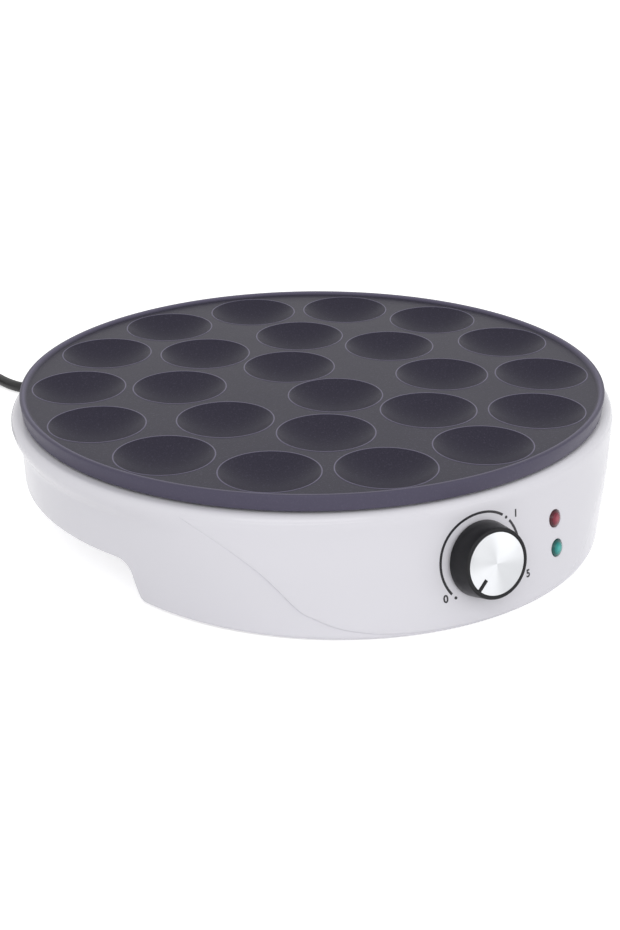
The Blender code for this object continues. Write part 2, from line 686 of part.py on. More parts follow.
def heating_element():
    reach = 180 - ELEMENT_GAP_DEGREES
    arc = [polar(SEAT_RING_RADIUS, reach - 2 * reach * index / ELEMENT_STEPS, ELEMENT_HEIGHT)
           for index in range(ELEMENT_STEPS + 1)]
    points = []
    for side, end, before in ((1, arc[0], arc[1]), (-1, arc[-1], arc[-2])):
        along = (end - before).normalized()
        bend = [end + along * ELEMENT_BEND * math.sin(turn)
                - Vector((0, 0, ELEMENT_BEND * (1 - math.cos(turn))))
                for turn in (math.pi / 6, math.pi / 3, math.pi / 2)]
        bend.append(bend[-1] - Vector((0, 0, ELEMENT_LEG)))
        points = list(reversed(bend)) + arc if side == 1 else points + bend
    tube("heating_element", points, ELEMENT_RADIUS, STEEL)
    for number, end in ((1, points[0]), (2, points[-1])):
        top = end.z - FIT
        turned(f"element_terminal_{number}", (
            (0, top), (TERMINAL_RADIUS, top), (TERMINAL_RADIUS, top - TERMINAL_HEIGHT),
            (TAB_RADIUS, top - TERMINAL_HEIGHT), (TAB_RADIUS, top - TERMINAL_HEIGHT - TAB_LENGTH),
            (0, top - TERMINAL_HEIGHT - TAB_LENGTH)), CERAMIC, upright(end), steps=12)
    return points[0], points[-1]


def element_clamps():
    seat = UNDERSIDE - SEAT_RING_DROP - FIT
    under = ELEMENT_HEIGHT - ELEMENT_RADIUS - FIT
    inner, outer = CLAMP_BOSS_CIRCLE - CLAMP_BOSS_RADIUS, STRAP_END
    knee = SEAT_RING_RADIUS - SEAT_RING_WIDTH
    toe = SEAT_RING_RADIUS - ELEMENT_RADIUS
    outline = ((inner, seat - STRAP), (knee - STRAP, seat - STRAP), (toe - STRAP, under - STRAP),
               (outer, under - STRAP), (outer, under), (toe, under), (knee, seat), (inner, seat))
    for number, turn in enumerate(CLAMP_AZIMUTHS, 1):
        aside = Matrix.Rotation(math.radians(turn - 90), 4, "Z")
        across = aside @ Matrix.Rotation(math.radians(90), 4, "X")
        strap = flat(f"element_clamp_{number}", outline, STRAP_WIDTH, STEEL, across)
        spot = polar(CLAMP_BOSS_CIRCLE, turn)
        hole = rod(f"strap_hole_{number}", CLAMP_SCREW_RADIUS + FIT, seat - OVERRUN, seat + OVERRUN,
                   frame=upright(spot), steps=12, group=CUTTERS)
        cut(strap, hole)
        screw(f"clamp_screw_{number}", CLAMP_SCREW_RADIUS, CLAMP_HEAD_RADIUS, CLAMP_HEAD,
              STRAP + FIT + CLAMP_SCREW_REACH, STEEL, upright(spot, seat - STRAP - FIT))


def reflector_pan(ends):
    low, high = PAN_FLOOR, PAN_FLANGE_TOP
    pan = turned("reflector_pan", (
        (PAN_FLANGE, high), (PAN_FLANGE, high - PAN_WALL), (PAN_RIM - PAN_WALL / 2, high - PAN_WALL),
        (PAN_FLOOR_RADIUS - PAN_WALL / 2, low), (PAN_HOLE, low), (PAN_HOLE, low + PAN_WALL),
        (PAN_FLOOR_RADIUS - PAN_WALL, low + PAN_WALL), (PAN_RIM - PAN_WALL, high)),
        STEEL, steps=ROUND_STEPS * 3 // 5, closed=True)
    lead_hole = rod("lead_hole", PAN_LEAD_HOLE, low - OVERRUN, low + OVERRUN)
    cut(pan, repeated("lead_holes", lead_hole, [upright(end) for end in ends]))
    hole = rod("flange_hole", PLATE_SCREW_RADIUS + FIT, high - OVERRUN, high + OVERRUN, steps=12)
    frames = [Matrix.Translation(polar(LUG_CIRCLE, turn)) for turn in LUG_AZIMUTHS]
    cut(pan, repeated("flange_holes", hole, frames))
    return pan


# Housing

def housing_shell():
    """The moulded shell: shelf, rounded shoulder, wall and skirt, thickened inwards."""
    top = SHELF_TOP - SHOULDER_ROUND
    low = FOOT_EDGE + FOOT_ROUND
    heights = [low + (top - low) * share for share in SKIRT_SHARES]

    def spot(column, row):
        azimuth = 360 * column / HOUSING_COLUMNS
        shoulder = shoulder_radius(azimuth)
        path = [(SHELF_INNER, SHELF_TOP)]
        path += [(shoulder - SHOULDER_ROUND * (1 - math.sin(math.radians(turn))),
                  top + SHOULDER_ROUND * math.cos(math.radians(turn))) for turn in SHOULDER_TURNS]
        path += [(skirt_radius(azimuth, height), height) for height in heights]
        lowest = skirt_radius(azimuth, low)
        corner = FOOT_ROUND * FOOT_ROUND_SHARE
        path += [(lowest, low), (lowest - corner, FOOT_EDGE + corner), (lowest - FOOT_ROUND, FOOT_EDGE)]
        radius, height = path[len(path) - 1 - row]
        return polar(radius, azimuth, height)

    rows = len(SHOULDER_TURNS) + len(SKIRT_SHARES) + 3
    return thickened(warped_grid("housing", HOUSING_COLUMNS, rows, spot, WHITE_SHELL), WALL)


def front_pad():
    """The U-shaped panel as a closed slab that follows the skirt."""
    low = PAD_LOW - WALL / 2

    def spot(column, row):
        azimuth = PAD_SPAN * (2 * column / PAD_COLUMNS - 1)
        return panel_point(azimuth, low + (PAD_TOP - low) * row / PAD_ROWS)

    slab = warped_grid("pad_slab", PAD_COLUMNS, PAD_ROWS, spot, group=CUTTERS)
    slab = thickened(slab, PAD_PROUD + PAD_ROOT)
    corner = [(PAD_HALF_LOW - PAD_CORNER_HEIGHT * (1 - math.cos(turn)) * PAD_CORNER_SHARE,
               PAD_CORNER_HEIGHT - (PAD_CORNER_HEIGHT - PAD_LOW) * math.sin(turn))
              for turn in (0, math.pi / 8, math.pi / 4, math.pi * 3 / 8, math.pi / 2)]
    right = [(PAD_HALF_TOP, PAD_TOP)] + corner
    outline = right + [(-x, y) for x, y in reversed(right)]
    depth = LIP_RADIUS
    facing = Matrix.Translation((0, -depth * 3 / 4, 0)) @ Matrix.Rotation(math.radians(90), 4, "X")
    trim = flat("pad_outline", outline, depth, frame=facing, group=CUTTERS)
    combine(slab, trim, "INTERSECT")
    slab = frozen(slab)
    slab.hide_render = True
    return slab


def arch(low, high):
    """A cutter that opens the skirt between two legs, with rounded upper corners."""
    reach = math.degrees(ARCH_FILLET / SIDE_WALL_LOW)
    turns = [0, 22.5, 45, 67.5, 90]
    stations = [(low + reach * (1 - math.cos(math.radians(turn))),
                 ARCH_TOP - ARCH_FILLET * (1 - math.sin(math.radians(turn)))) for turn in turns]
    middle = (low + high) / 2
    mirrored = [(2 * middle - azimuth, height) for azimuth, height in reversed(stations)]
    stations += [(middle, ARCH_TOP)] + mirrored
    inner = SIDE_WALL_LOW - ARCH_DEPTH
    outer = LIP_RADIUS + ARCH_DEPTH

    def spot(column, row):
        azimuth, height = stations[column]
        return polar((outer, inner)[row], azimuth, height)

    sheet = warped_grid("arch", len(stations) - 1, 1, spot, group=CUTTERS)
    shape = bmesh.new()
    shape.from_mesh(sheet.data)
    grown = bmesh.ops.extrude_face_region(shape, geom=shape.faces[:])
    for item in grown["geom"]:
        if isinstance(item, bmesh.types.BMVert):
            item.co.z = -OVERRUN
    bmesh.ops.recalc_face_normals(shape, faces=shape.faces)
    shape.to_mesh(sheet.data)
    shape.free()
    return sheet


def housing():
    shell = housing_shell()
    join(shell, front_pad())
    for leg, following in zip(LEG_SPANS, LEG_SPANS[1:] + LEG_SPANS[:1]):
        low, high = leg[1], following[0] + (360 if following[0] < leg[1] else 0)
        cut(shell, arch(low, high))
    low = BASE_INSIDE + FIT
    pillar = rod("pillar", PILLAR_RADIUS, low, SHELF_UNDER + WALL / 4, steps=12)
    frames = [Matrix.Translation(polar(*spot)) for spot in PILLAR_PLACES]
    join(shell, repeated("pillars", pillar, frames))
    seat = rod("thermostat_seat", SEAT_RADIUS, -SEAT_DEPTH, -WALL / 2, steps=24, frame=KNOB_FRAME,
               group=CUTTERS)
    join(shell, seat)
    hole = rod("pillar_hole", BASE_SCREW_RADIUS + FIT, low - OVERRUN, low + BASE_SCREW_REACH, steps=12)
    cut(shell, repeated("pillar_holes", hole, frames))
    hole = rod("shelf_hole", PLATE_SCREW_RADIUS + FIT, SHELF_UNDER - OVERRUN, SHELF_TOP + OVERRUN,
               steps=12)
    frames = [Matrix.Translation(polar(LUG_CIRCLE, turn)) for turn in LUG_AZIMUTHS]
    cut(shell, repeated("shelf_holes", hole, frames))
    bore = rod("spindle_bore", SPINDLE_HOLE, -SEAT_DEPTH - OVERRUN, OVERRUN, frame=KNOB_FRAME,
               group=CUTTERS)
    cut(shell, bore)
    asides = [KNOB_FRAME @ Matrix.Translation((side * CASE_SCREW_OFFSET, 0, 0)) for side in (-1, 1)]
    through = rod("case_screw_hole", CASE_SCREW_RADIUS + FIT, -SEAT_DEPTH - OVERRUN, -CASE_RECESS / 2,
                  steps=10)
    cut(shell, repeated("case_screw_holes", through, asides))
    recess = rod("case_screw_recess", CASE_HEAD_RADIUS + FIT, -CASE_RECESS, OVERRUN, steps=14)
    cut(shell, repeated("case_screw_recesses", recess, asides))
    for frame in LAMP_FRAMES:
        opening = rod("lamp_hole", LENS_RADIUS + LENS_HOLE_GAP, -LENS_LENGTH, OVERRUN, frame=frame,
                      group=CUTTERS)
        cut(shell, opening)
        seat = rod("lamp_seat", SOCKET_RADIUS + 2 * FIT, -LENS_LENGTH, -LAMP_SEAT, frame=frame,
                   group=CUTTERS)
        cut(shell, seat)
    gland = rod("cord_hole", RELIEF_NECK + FIT, -WALL - OVERRUN, OVERRUN, frame=CORD_FRAME,
                group=CUTTERS)
    cut(shell, gland)
    return shell


# Base cover, feet and screws

def base_outer(azimuth, height):
    """Radius of the base cover's rim, clear of the wall at its lower and its upper face."""
    wall = min(skirt_radius(azimuth, height), skirt_radius(azimuth, height + BASE_WALL))
    return wall - WALL - BASE_CLEARANCE


def base_columns():
    """Azimuths round the base cover, each with 0 for its flat part or 1 for a well."""
    columns = []
    for leg, following in zip(LEG_SPANS, LEG_SPANS[1:] + ((LEG_SPANS[0][0] + 360, 0),)):
        low, high = leg[0] + WELL_END_DEGREES, leg[1] - WELL_END_DEGREES
        steps = max(2, round((high - low) / BASE_STEP_DEGREES))
        columns.append((low - WELL_SIDE_DEGREES, 0))
        columns += [(low + (high - low) * index / steps, 1) for index in range(steps + 1)]
        columns.append((high + WELL_SIDE_DEGREES, 0))
        start = high + WELL_SIDE_DEGREES
        end = following[0] + WELL_END_DEGREES - WELL_SIDE_DEGREES
        steps = max(2, round((end - start) / BASE_STEP_DEGREES))
        columns += [(start + (end - start) * index / steps, 0) for index in range(1, steps)]
    return columns + [(columns[0][0] + 360, 0)]


def base_cover():
    columns = base_columns()

    def corner(column, row):
        azimuth, well = columns[column]
        inner = FRONT_WELL_INNER if from_front(azimuth) < LEG_SPANS[0][1] else REAR_WELL_INNER
        height = WELL_FLOOR if well else BASE_FLAT
        rim = base_outer(azimuth, height)
        path = [(0, BASE_FLAT), (BASE_RING, BASE_FLAT), (inner - WELL_SLOPE, BASE_FLAT),
                (inner, height), ((inner + rim) / 2, height), (rim, height)]
        radius, height = path[row]
        return polar(radius, azimuth, height)

    cover = thickened(warped_grid("base_cover", len(columns) - 1, 5, corner, WHITE_SHELL), BASE_WALL)
    slot = block("slot", (VENT_WIDTH, VENT_LENGTH, BASE_WALL + OVERRUN))
    turns = [360 * (index + 0.5) / VENT_COUNT for index in range(VENT_COUNT)]
    frames = [Matrix.Translation(polar(VENT_CIRCLE, turn, BASE_FLAT))
              @ Matrix.Rotation(math.radians(turn), 4, "Z") for turn in turns]
    cut(cover, repeated("slots", slot, frames))
    hole = rod("foot_hole", FOOT_STEM + FIT, WELL_FLOOR - OVERRUN, WELL_FLOOR + OVERRUN, steps=12)
    frames = [Matrix.Translation(polar(*spot)) for spot in FOOT_PLACES]
    cut(cover, repeated("foot_holes", hole, frames))
    hole = rod("base_screw_hole", BASE_SCREW_RADIUS + FIT, BASE_FLAT - OVERRUN, BASE_FLAT + OVERRUN,
               steps=12)
    frames = [Matrix.Translation(polar(*spot)) for spot in PILLAR_PLACES]
    cut(cover, repeated("base_screw_holes", hole, frames))
    low = BASE_FLAT + BASE_WALL / 2
    size = (2 * (SADDLE_SCREW_ASIDE + SADDLE_BOSS), SADDLE_WIDTH, SADDLE_SEAT - low)
    middle = upright((0, SADDLE_PLACE), (low + SADDLE_SEAT) / 2)
    join(cover, block("saddle_bed", size, frame=middle, group=CUTTERS))
    hole = rod("saddle_hole", SADDLE_SCREW_RADIUS + FIT, SADDLE_SEAT - SADDLE_SCREW_REACH,
               SADDLE_SEAT + OVERRUN, steps=12)
    frames = [upright((side * SADDLE_SCREW_ASIDE, SADDLE_PLACE)) for side in (-1, 1)]
    cut(cover, repeated("saddle_holes", hole, frames))
    return cover


def feet_and_screws():
    floor_top = WELL_FLOOR + BASE_WALL
    for number, spot in enumerate(FOOT_PLACES, 1):
        turned(f"foot_{number}", (
            (0, floor_top + FIT + FOOT_BARB), (FOOT_STEM * FOOT_TIP_SHARE, floor_top + FIT + FOOT_BARB),
            (FOOT_BARB, floor_top + FIT), (FOOT_STEM, floor_top + FIT), (FOOT_STEM, WELL_FLOOR - FIT),
            (FOOT_RADIUS * FOOT_TOP_SHARE, WELL_FLOOR - FIT), (FOOT_RADIUS, 0), (0, 0)), RUBBER,
            Matrix.Translation(polar(*spot)), steps=10)
    for number, spot in enumerate(PILLAR_PLACES, 1):
        screw(f"base_screw_{number}", BASE_SCREW_RADIUS, BASE_HEAD_RADIUS, BASE_HEAD,
              BASE_WALL + BASE_SCREW_REACH, STEEL, Matrix.Translation(polar(*spot, BASE_FLAT - FIT)))
    for number, turn in enumerate(LUG_AZIMUTHS, 1):
        screw(f"plate_screw_{number}", PLATE_SCREW_RADIUS, PLATE_HEAD_RADIUS, PLATE_HEAD,
              LUG_BOTTOM - SHELF_UNDER + FIT + PLATE_SCREW_REACH, STEEL,
              Matrix.Translation(polar(LUG_CIRCLE, turn, SHELF_UNDER - FIT)))


# Knob and thermostat, built in the control's own frame: +Z out of the panel, the panel's face at 0

def knob():
    back, front = KNOB_STANDOFF, KNOB_STANDOFF + KNOB_DEPTH
    floor = front - CAP_RECESS
    roof = floor - KNOB_WALL
    body = turned("knob", (
        (0, floor), (KNOB_FRONT_RADIUS - KNOB_RIM, floor), (KNOB_FRONT_RADIUS - KNOB_RIM, front),
        (KNOB_FRONT_RADIUS - KNOB_EDGE, front), (KNOB_FRONT_RADIUS, front - KNOB_EDGE),
        (KNOB_BASE_RADIUS, back),
        (KNOB_BASE_RADIUS - KNOB_WALL, back), (KNOB_FRONT_RADIUS - KNOB_WALL, roof), (HUB_RADIUS, roof),
        (HUB_RADIUS, back), (SPINDLE_RADIUS + FIT, back), (SPINDLE_RADIUS + FIT, roof - FIT),
        (0, roof - FIT)),
        BLACK_GLOSS, KNOB_FRAME, steps=22)
    middle = CAP_RADIUS - POINTER_LENGTH / 2
    rib = block("pointer_rib", (POINTER_LENGTH + KNOB_RIM, POINTER_WIDTH, CAP_THICKNESS + CAP_RECESS),
                frame=KNOB_FRAME @ Matrix.Rotation(math.radians(POINTER_DEGREES), 4, "Z")
                @ Matrix.Translation((middle + KNOB_RIM / 2, 0, floor + CAP_THICKNESS / 2)), group=CUTTERS)
    join(body, rib)
    cap = rod("knob_cap", CAP_RADIUS, floor + FIT, floor + FIT + CAP_THICKNESS, BRIGHT, KNOB_FRAME,
              steps=24)
    notch = block("cap_notch", (POINTER_LENGTH + OVERRUN, POINTER_WIDTH + 2 * FIT, OVERRUN),
                  frame=KNOB_FRAME @ Matrix.Rotation(math.radians(POINTER_DEGREES), 4, "Z")
                  @ Matrix.Translation((middle + OVERRUN / 2 - FIT, 0, floor)), group=CUTTERS)
    cut(cap, notch)


def cam_rise(degrees):
    """Rise of the cam's rear face at an angle: a steady ramp over the knob's turn, and a short way back."""
    span = KNOB_TURN_DEGREES + 2 * CAM_LEAD_DEGREES
    turn = (degrees + CAM_LEAD_DEGREES) % 360
    share = turn / span if turn <= span else (360 - turn) / (360 - span)
    return CAM_RISE * share


def spindle():
    """The spindle with its cam: the knob turns both."""
    front = KNOB_STANDOFF + KNOB_DEPTH - CAP_RECESS - KNOB_WALL - 2 * FIT
    shaft = rod("spindle", SPINDLE_RADIUS, -CAM_DEPTH, front, STEEL, KNOB_FRAME, steps=16)
    columns = CAM_COLUMNS
    face_front = -CAM_DEPTH + CAM_THICKNESS

    def spot(column, row):
        turn = math.radians(360 * column / columns)
        radius = (0, CAM_RADIUS, CAM_RADIUS, 0)[row]
        height = face_front if row < 2 else -CAM_DEPTH - cam_rise(360 * column / columns)
        height = -CAM_DEPTH - CAM_RISE / 2 if row == 3 else height
        return Vector((radius * math.cos(turn), radius * math.sin(turn), height))

    cam = warped_grid("cam", columns, 3, spot, group=CUTTERS)
    shape = bmesh.new()
    shape.from_mesh(cam.data)
    bmesh.ops.recalc_face_normals(shape, faces=shape.faces)
    shape.to_mesh(cam.data)
    shape.free()
    cam.matrix_world = KNOB_FRAME
    join(shaft, cam)


def contact_lever():
    """The lever that rides on the cam and turns on a small pivot at one end."""
    length, width, thickness = LEVER_SIZE
    bar = block("contact_lever", LEVER_SIZE, STEEL, LEVER_FRAME, centre=(length / 2, 0, 0))
    nose_tip = -CAM_DEPTH - cam_rise(0) - FIT
    nose = rod("lever_nose", LEVER_NOSE_RADIUS, LEVER_AXIS_DEPTH, nose_tip, steps=12,
               frame=KNOB_FRAME @ Matrix.Translation((LEVER_NOSE, 0, 0)), group=CUTTERS)
    join(bar, nose)
    reach = width / 2 + 2 * FIT + CASE_WALL
    axle = rod("lever_axle", PIVOT_RADIUS, -reach, reach, steps=12,
               frame=LEVER_FRAME @ Matrix.Rotation(math.radians(90), 4, "X"), group=CUTTERS)
    join(bar, axle)


def thermostat():
    wide, high, deep = CASE_SIZE
    front = -SEAT_DEPTH - FIT
    rear = front - deep
    middle = KNOB_FRAME @ Matrix.Translation((0, 0, front - deep / 2))
    case = block("thermostat_case", CASE_SIZE, ZINC, middle)
    hollow = (wide - 2 * CASE_WALL, high - 2 * CASE_WALL, deep + OVERRUN)
    inside = block("case_inside", hollow, group=CUTTERS,
                   frame=KNOB_FRAME @ Matrix.Translation((0, 0, front - CASE_WALL - hollow[2] / 2)))
    cut(case, inside)
    bore = rod("case_bore", SPINDLE_RADIUS + FIT, front - OVERRUN, front + OVERRUN, frame=KNOB_FRAME,
               group=CUTTERS)
    cut(case, bore)
    root = front - CASE_WALL / 2
    cheek_length = root - LEVER_AXIS_DEPTH + 2 * PIVOT_RADIUS
    for side in (-1, 1):
        aside = side * (LEVER_SIZE[1] / 2 + 2 * FIT + CASE_WALL / 2)
        spot = Matrix.Translation((LEVER_PIVOT, aside, root - cheek_length / 2))
        join(case, block("cheek", (4 * PIVOT_RADIUS, CASE_WALL, cheek_length), frame=KNOB_FRAME @ spot,
                         group=CUTTERS))
    reach = high / 2 - CASE_WALL
    pivot_hole = rod("pivot_hole", PIVOT_RADIUS + FIT, -reach, reach, steps=12,
                     frame=LEVER_FRAME @ Matrix.Rotation(math.radians(90), 4, "X"), group=CUTTERS)
    cut(case, pivot_hole)
    for number, side in ((1, -1), (2, 1)):
        aside = KNOB_FRAME @ Matrix.Translation((side * CASE_SCREW_OFFSET, 0, 0))
        cut(case, rod("case_thread", CASE_SCREW_RADIUS + FIT, front - OVERRUN, front + OVERRUN, frame=aside,
                      steps=12, group=CUTTERS))
        inwards = Matrix.Translation((0, 0, FIT - CASE_RECESS)) @ Matrix.Rotation(math.radians(180), 4, "X")
        screw(f"thermostat_screw_{number}", CASE_SCREW_RADIUS, CASE_HEAD_RADIUS, CASE_HEAD,
              CASE_SCREW_REACH - front - CASE_RECESS, STEEL, aside @ inwards)
    block("thermostat_base", (wide, high, BASE_PLATE), CERAMIC,
          KNOB_FRAME @ Matrix.Translation((0, 0, rear - FIT - BASE_PLATE / 2)))
    low = rear + FIT
    top = LEVER_AXIS_DEPTH - LEVER_SIZE[2] / 2 - BELLOWS_PLAY
    fold = (top - BELLOWS_BUTTON - low) / (2 * BELLOWS_FOLDS)
    folds = [(BELLOWS_RADIUS if index % 2 else BELLOWS_NECK, top - BELLOWS_BUTTON - fold * index)
             for index in range(2 * BELLOWS_FOLDS + 1)]
    turned("bellows", [(0, top), (BELLOWS_BUTTON, top), (BELLOWS_BUTTON, top - BELLOWS_BUTTON)] + folds
           + [(0, low)], BRASS, KNOB_FRAME, steps=12)


def saddle_outline(inner, wall, foot, centre):
    """An omega-shaped strap over a round piece whose axis lies at the given height above its feet."""
    outer = inner + wall
    turns = [math.pi * index / 6 for index in range(7)]
    over = [(outer * math.cos(turn), centre + outer * math.sin(turn)) for turn in turns]
    under = [(inner * math.cos(turn), centre + inner * math.sin(turn)) for turn in reversed(turns)]
    return ([(inner, 0), (outer + foot, 0), (outer + foot, wall), (outer, wall)] + over
            + [(-outer, wall), (-outer - foot, wall), (-outer - foot, 0), (-inner, 0)] + under)


def sensor():
    """The bulb on the pan under the plate, its clip and the capillary tube back to the thermostat."""
    x, y = BULB_PLACE
    bed = PAN_FLOOR + PAN_WALL + FIT
    along = Matrix.Translation((x, y, bed + BULB_RADIUS)) @ Matrix.Rotation(math.radians(90), 4, "Y")
    rod("sensor_bulb", BULB_RADIUS, -BULB_LENGTH / 2, BULB_LENGTH / 2, COPPER, along, steps=10)
    across = Matrix.Translation((x + BULB_CLIP_ASIDE, y, bed)) @ Matrix.Rotation(math.radians(90), 4, "Z")
    outline = saddle_outline(BULB_RADIUS + FIT, BULB_CLIP_WALL, BULB_CLIP_FOOT, BULB_RADIUS)
    flat("bulb_clip", outline, BULB_CLIP_WIDTH, STEEL, across @ Matrix.Rotation(math.radians(90), 4, "X"))
    start = Vector((x + BULB_LENGTH / 2 + FIT, y, bed + BULB_RADIUS))
    under_pan = (PAN_FLOOR + BASE_INSIDE) / 2
    end = thermostat_rear(0)
    back = end - CONTROL_AXIS * WIRE_STUB
    route = [start, start + Vector((BULB_CLIP_FOOT, 0, 0)), Vector((PAN_HOLE / 2, y / 2, start.z)),
             Vector((PAN_HOLE / 2, -PAN_HOLE / 2, start.z)), Vector((0, 0, PAN_FLOOR - BULB_RADIUS)),
             Vector((-PAN_HOLE / 2, -PAN_HOLE / 2, (PAN_FLOOR + under_pan) / 2)),
             Vector((-PAN_HOLE / 2, y / 2, under_pan)), Vector((0, y, under_pan)),
             Vector((0, -FRONT_WELL_INNER, under_pan)), back, end]
    tube("capillary_tube", squared_route(route, WIRE_SPACING), CAPILLARY_RADIUS, COPPER, resolution=0)


# Lamps, built in their own frames on the panel

def lamps():
    flange_front = -LAMP_SEAT - FIT
    flange_back = flange_front - LENS_FLANGE_THICKNESS
    socket_front, socket_back = flange_back - FIT, flange_back - FIT - SOCKET_LENGTH
    names = ("power_lens", "ready_lens")
    for number, (name, frame, paint) in enumerate(zip(names, LAMP_FRAMES, (RED_LENS, GREEN_LENS)), 1):
        turned(name, (
            (0, LENS_DOME), (LENS_RADIUS / 2, LENS_DOME * DOME_SHARE), (LENS_RADIUS, FIT),
            (LENS_RADIUS, flange_front), (LENS_FLANGE, flange_front), (LENS_FLANGE, flange_back),
            (0, flange_back)), paint, frame)
        bore = NEON_RADIUS + FIT
        floor = socket_back + SOCKET_FLOOR
        turned(f"lamp_socket_{number}", (
            (0, floor), (bore, floor), (bore, socket_front), (SOCKET_RADIUS, socket_front),
            (SOCKET_RADIUS, socket_back), (0, socket_back)), NYLON, frame, steps=16)
        turned(f"neon_lamp_{number}", (
            (0, socket_front - FIT), (NEON_RADIUS / 2, socket_front - FIT),
            (NEON_RADIUS, socket_front - NEON_RADIUS / 2), (NEON_RADIUS, floor + FIT), (0, floor + FIT)),
            GLASS, frame, steps=8)
    return socket_back


# Mains connection inside

def thermostat_rear(aside):
    """A point just behind the thermostat's base, to the side of its axis."""
    depth = SEAT_DEPTH + CASE_SIZE[2] + BASE_PLATE + 3 * FIT
    return KNOB_FRAME @ Vector((aside, 0, -depth))


def lying(x, y):
    """A wire's point on the base cover."""
    return Vector((x, y, BASE_INSIDE + WIRE_RADIUS + WIRE_LIFT))


def wire(name, start, start_way, end, end_way, between, paint):
    """A wire that leaves and arrives squarely, by way of the points between."""
    stub = min(WIRE_STUB, (end - start).length / 3)
    route = [start, start + start_way * stub] + between + [end - end_way * stub, end]
    tube(name, squared_route(route, WIRE_SPACING), WIRE_RADIUS, paint, resolution=1)


def mains_inside(ends, socket_back):
    wide, deep, high = BLOCK_SIZE
    middle = BASE_INSIDE + FIT + high / 2
    terminals = block("terminal_block", BLOCK_SIZE, NYLON, upright((0, BLOCK_PLACE), middle))
    slot = block("block_slot", (BLOCK_SLOT, deep + OVERRUN, BLOCK_SLOT_DEPTH + OVERRUN))
    spots = [(side * BLOCK_POLE / 2, BLOCK_PLACE) for side in (-1, 1)]
    top = middle + high / 2 - BLOCK_SLOT_DEPTH / 2 + OVERRUN / 2
    cut(terminals, repeated("block_slots", slot, [upright(spot, top) for spot in spots]))
    rear, front = BLOCK_PLACE + deep / 2 + FIT, BLOCK_PLACE - deep / 2 - FIT

    inlet = CORD_FRAME.translation.y - WALL - RELIEF_PLAY - RELIEF_FLANGE_THICKNESS - FIT
    lead_frame = (Matrix.Translation((0, rear, CORD_EXIT_HEIGHT))
                  @ Matrix.Rotation(math.radians(-90), 4, "X"))
    rod("supply_lead", SUPPLY_RADIUS, 0, inlet - rear, CORD_BLACK, lead_frame, steps=12)
    seat = upright((0, SADDLE_PLACE), SADDLE_SEAT + FIT) @ Matrix.Rotation(math.radians(90), 4, "X")
    outline = saddle_outline(SUPPLY_RADIUS + FIT, SADDLE_WALL, SADDLE_FOOT, SUPPLY_RADIUS)
    clamp = flat("cord_clamp", outline, SADDLE_WIDTH, NYLON, seat)
    for number, side in ((1, -1), (2, 1)):
        spot = upright((side * SADDLE_SCREW_ASIDE, SADDLE_PLACE), SADDLE_SEAT + SADDLE_WALL + 2 * FIT)
        cut(clamp, rod("clamp_hole", SADDLE_SCREW_RADIUS + FIT, -SADDLE_WALL - OVERRUN, OVERRUN, frame=spot,
                       steps=12, group=CUTTERS))
        screw(f"cord_clamp_screw_{number}", SADDLE_SCREW_RADIUS, SADDLE_HEAD_RADIUS, SADDLE_HEAD,
              SADDLE_WALL + SADDLE_SCREW_REACH, STEEL, spot @ Matrix.Rotation(math.radians(180), 4, "X"))

    tab_height = ends[0].z - FIT - TERMINAL_HEIGHT - TAB_LENGTH / 2
    tab_front = Vector((0, -TAB_RADIUS - FIT, tab_height))
    neutral_tab = Vector((ends[0].x, ends[0].y, 0)) + tab_front
    fuse_tip = Vector((ends[1].x, ends[1].y, 0)) + tab_front
    fuse_frame = Matrix.Translation(fuse_tip) @ Matrix.Rotation(math.radians(-90), 4, "X")
    body_low = -FUSE_PIN - FUSE_LENGTH
    turned("thermal_fuse", (
        (0, 0), (FUSE_PIN_RADIUS, 0), (FUSE_PIN_RADIUS, -FUSE_PIN), (FUSE_RADIUS, -FUSE_PIN),
        (FUSE_RADIUS, body_low), (FUSE_PIN_RADIUS, body_low), (FUSE_PIN_RADIUS, body_low - FUSE_PIN),
        (0, body_low - FUSE_PIN)), BRIGHT, fuse_frame, steps=12)
    fuse_foot = fuse_tip + Vector((0, body_low - FUSE_PIN - FIT, 0))

    back, ahead = Vector((0, 1, 0)), Vector((0, -1, 0))
    edge = FRONT_WELL_INNER - WELL_SLOPE
    pole = Vector((BLOCK_POLE, 0, middle))
    aside = CASE_SCREW_OFFSET * 3 / 4
    live_end, switched_start = thermostat_rear(aside), thermostat_rear(-aside)
    wire("neutral_wire", pole + back * rear, back, neutral_tab, back, [], BLUE_WIRE)
    wire("live_wire", Vector((0, front, middle)), ahead, live_end, CONTROL_AXIS,
         [lying(aside, 0), lying(aside, -edge)], BROWN_WIRE)
    wire("switched_wire", switched_start, -CONTROL_AXIS, fuse_foot, back,
         [lying(-aside, -edge), lying(-2 * aside, 0)], BROWN_WIRE)
    upper = LAMP_FRAMES[0] @ Vector((0, 0, socket_back - 4 * WIRE_RADIUS))
    lamp_end = LAMP_FRAMES[1] @ Vector((0, 0, socket_back - 3 * FIT))
    lamp_way = (LAMP_FRAMES[1].to_3x3() @ Vector((0, 0, 1))) * 6 * WIRE_RADIUS / WIRE_STUB
    turn = polar(edge, LAMP_AZIMUTH)
    wire("lamp_wire", pole + ahead * -front, ahead, lamp_end, lamp_way,
         [lying(2 * aside, 0), lying(turn.x, turn.y), upper], BROWN_WIRE)


# Strain relief, mains cord, coil, tie and plug

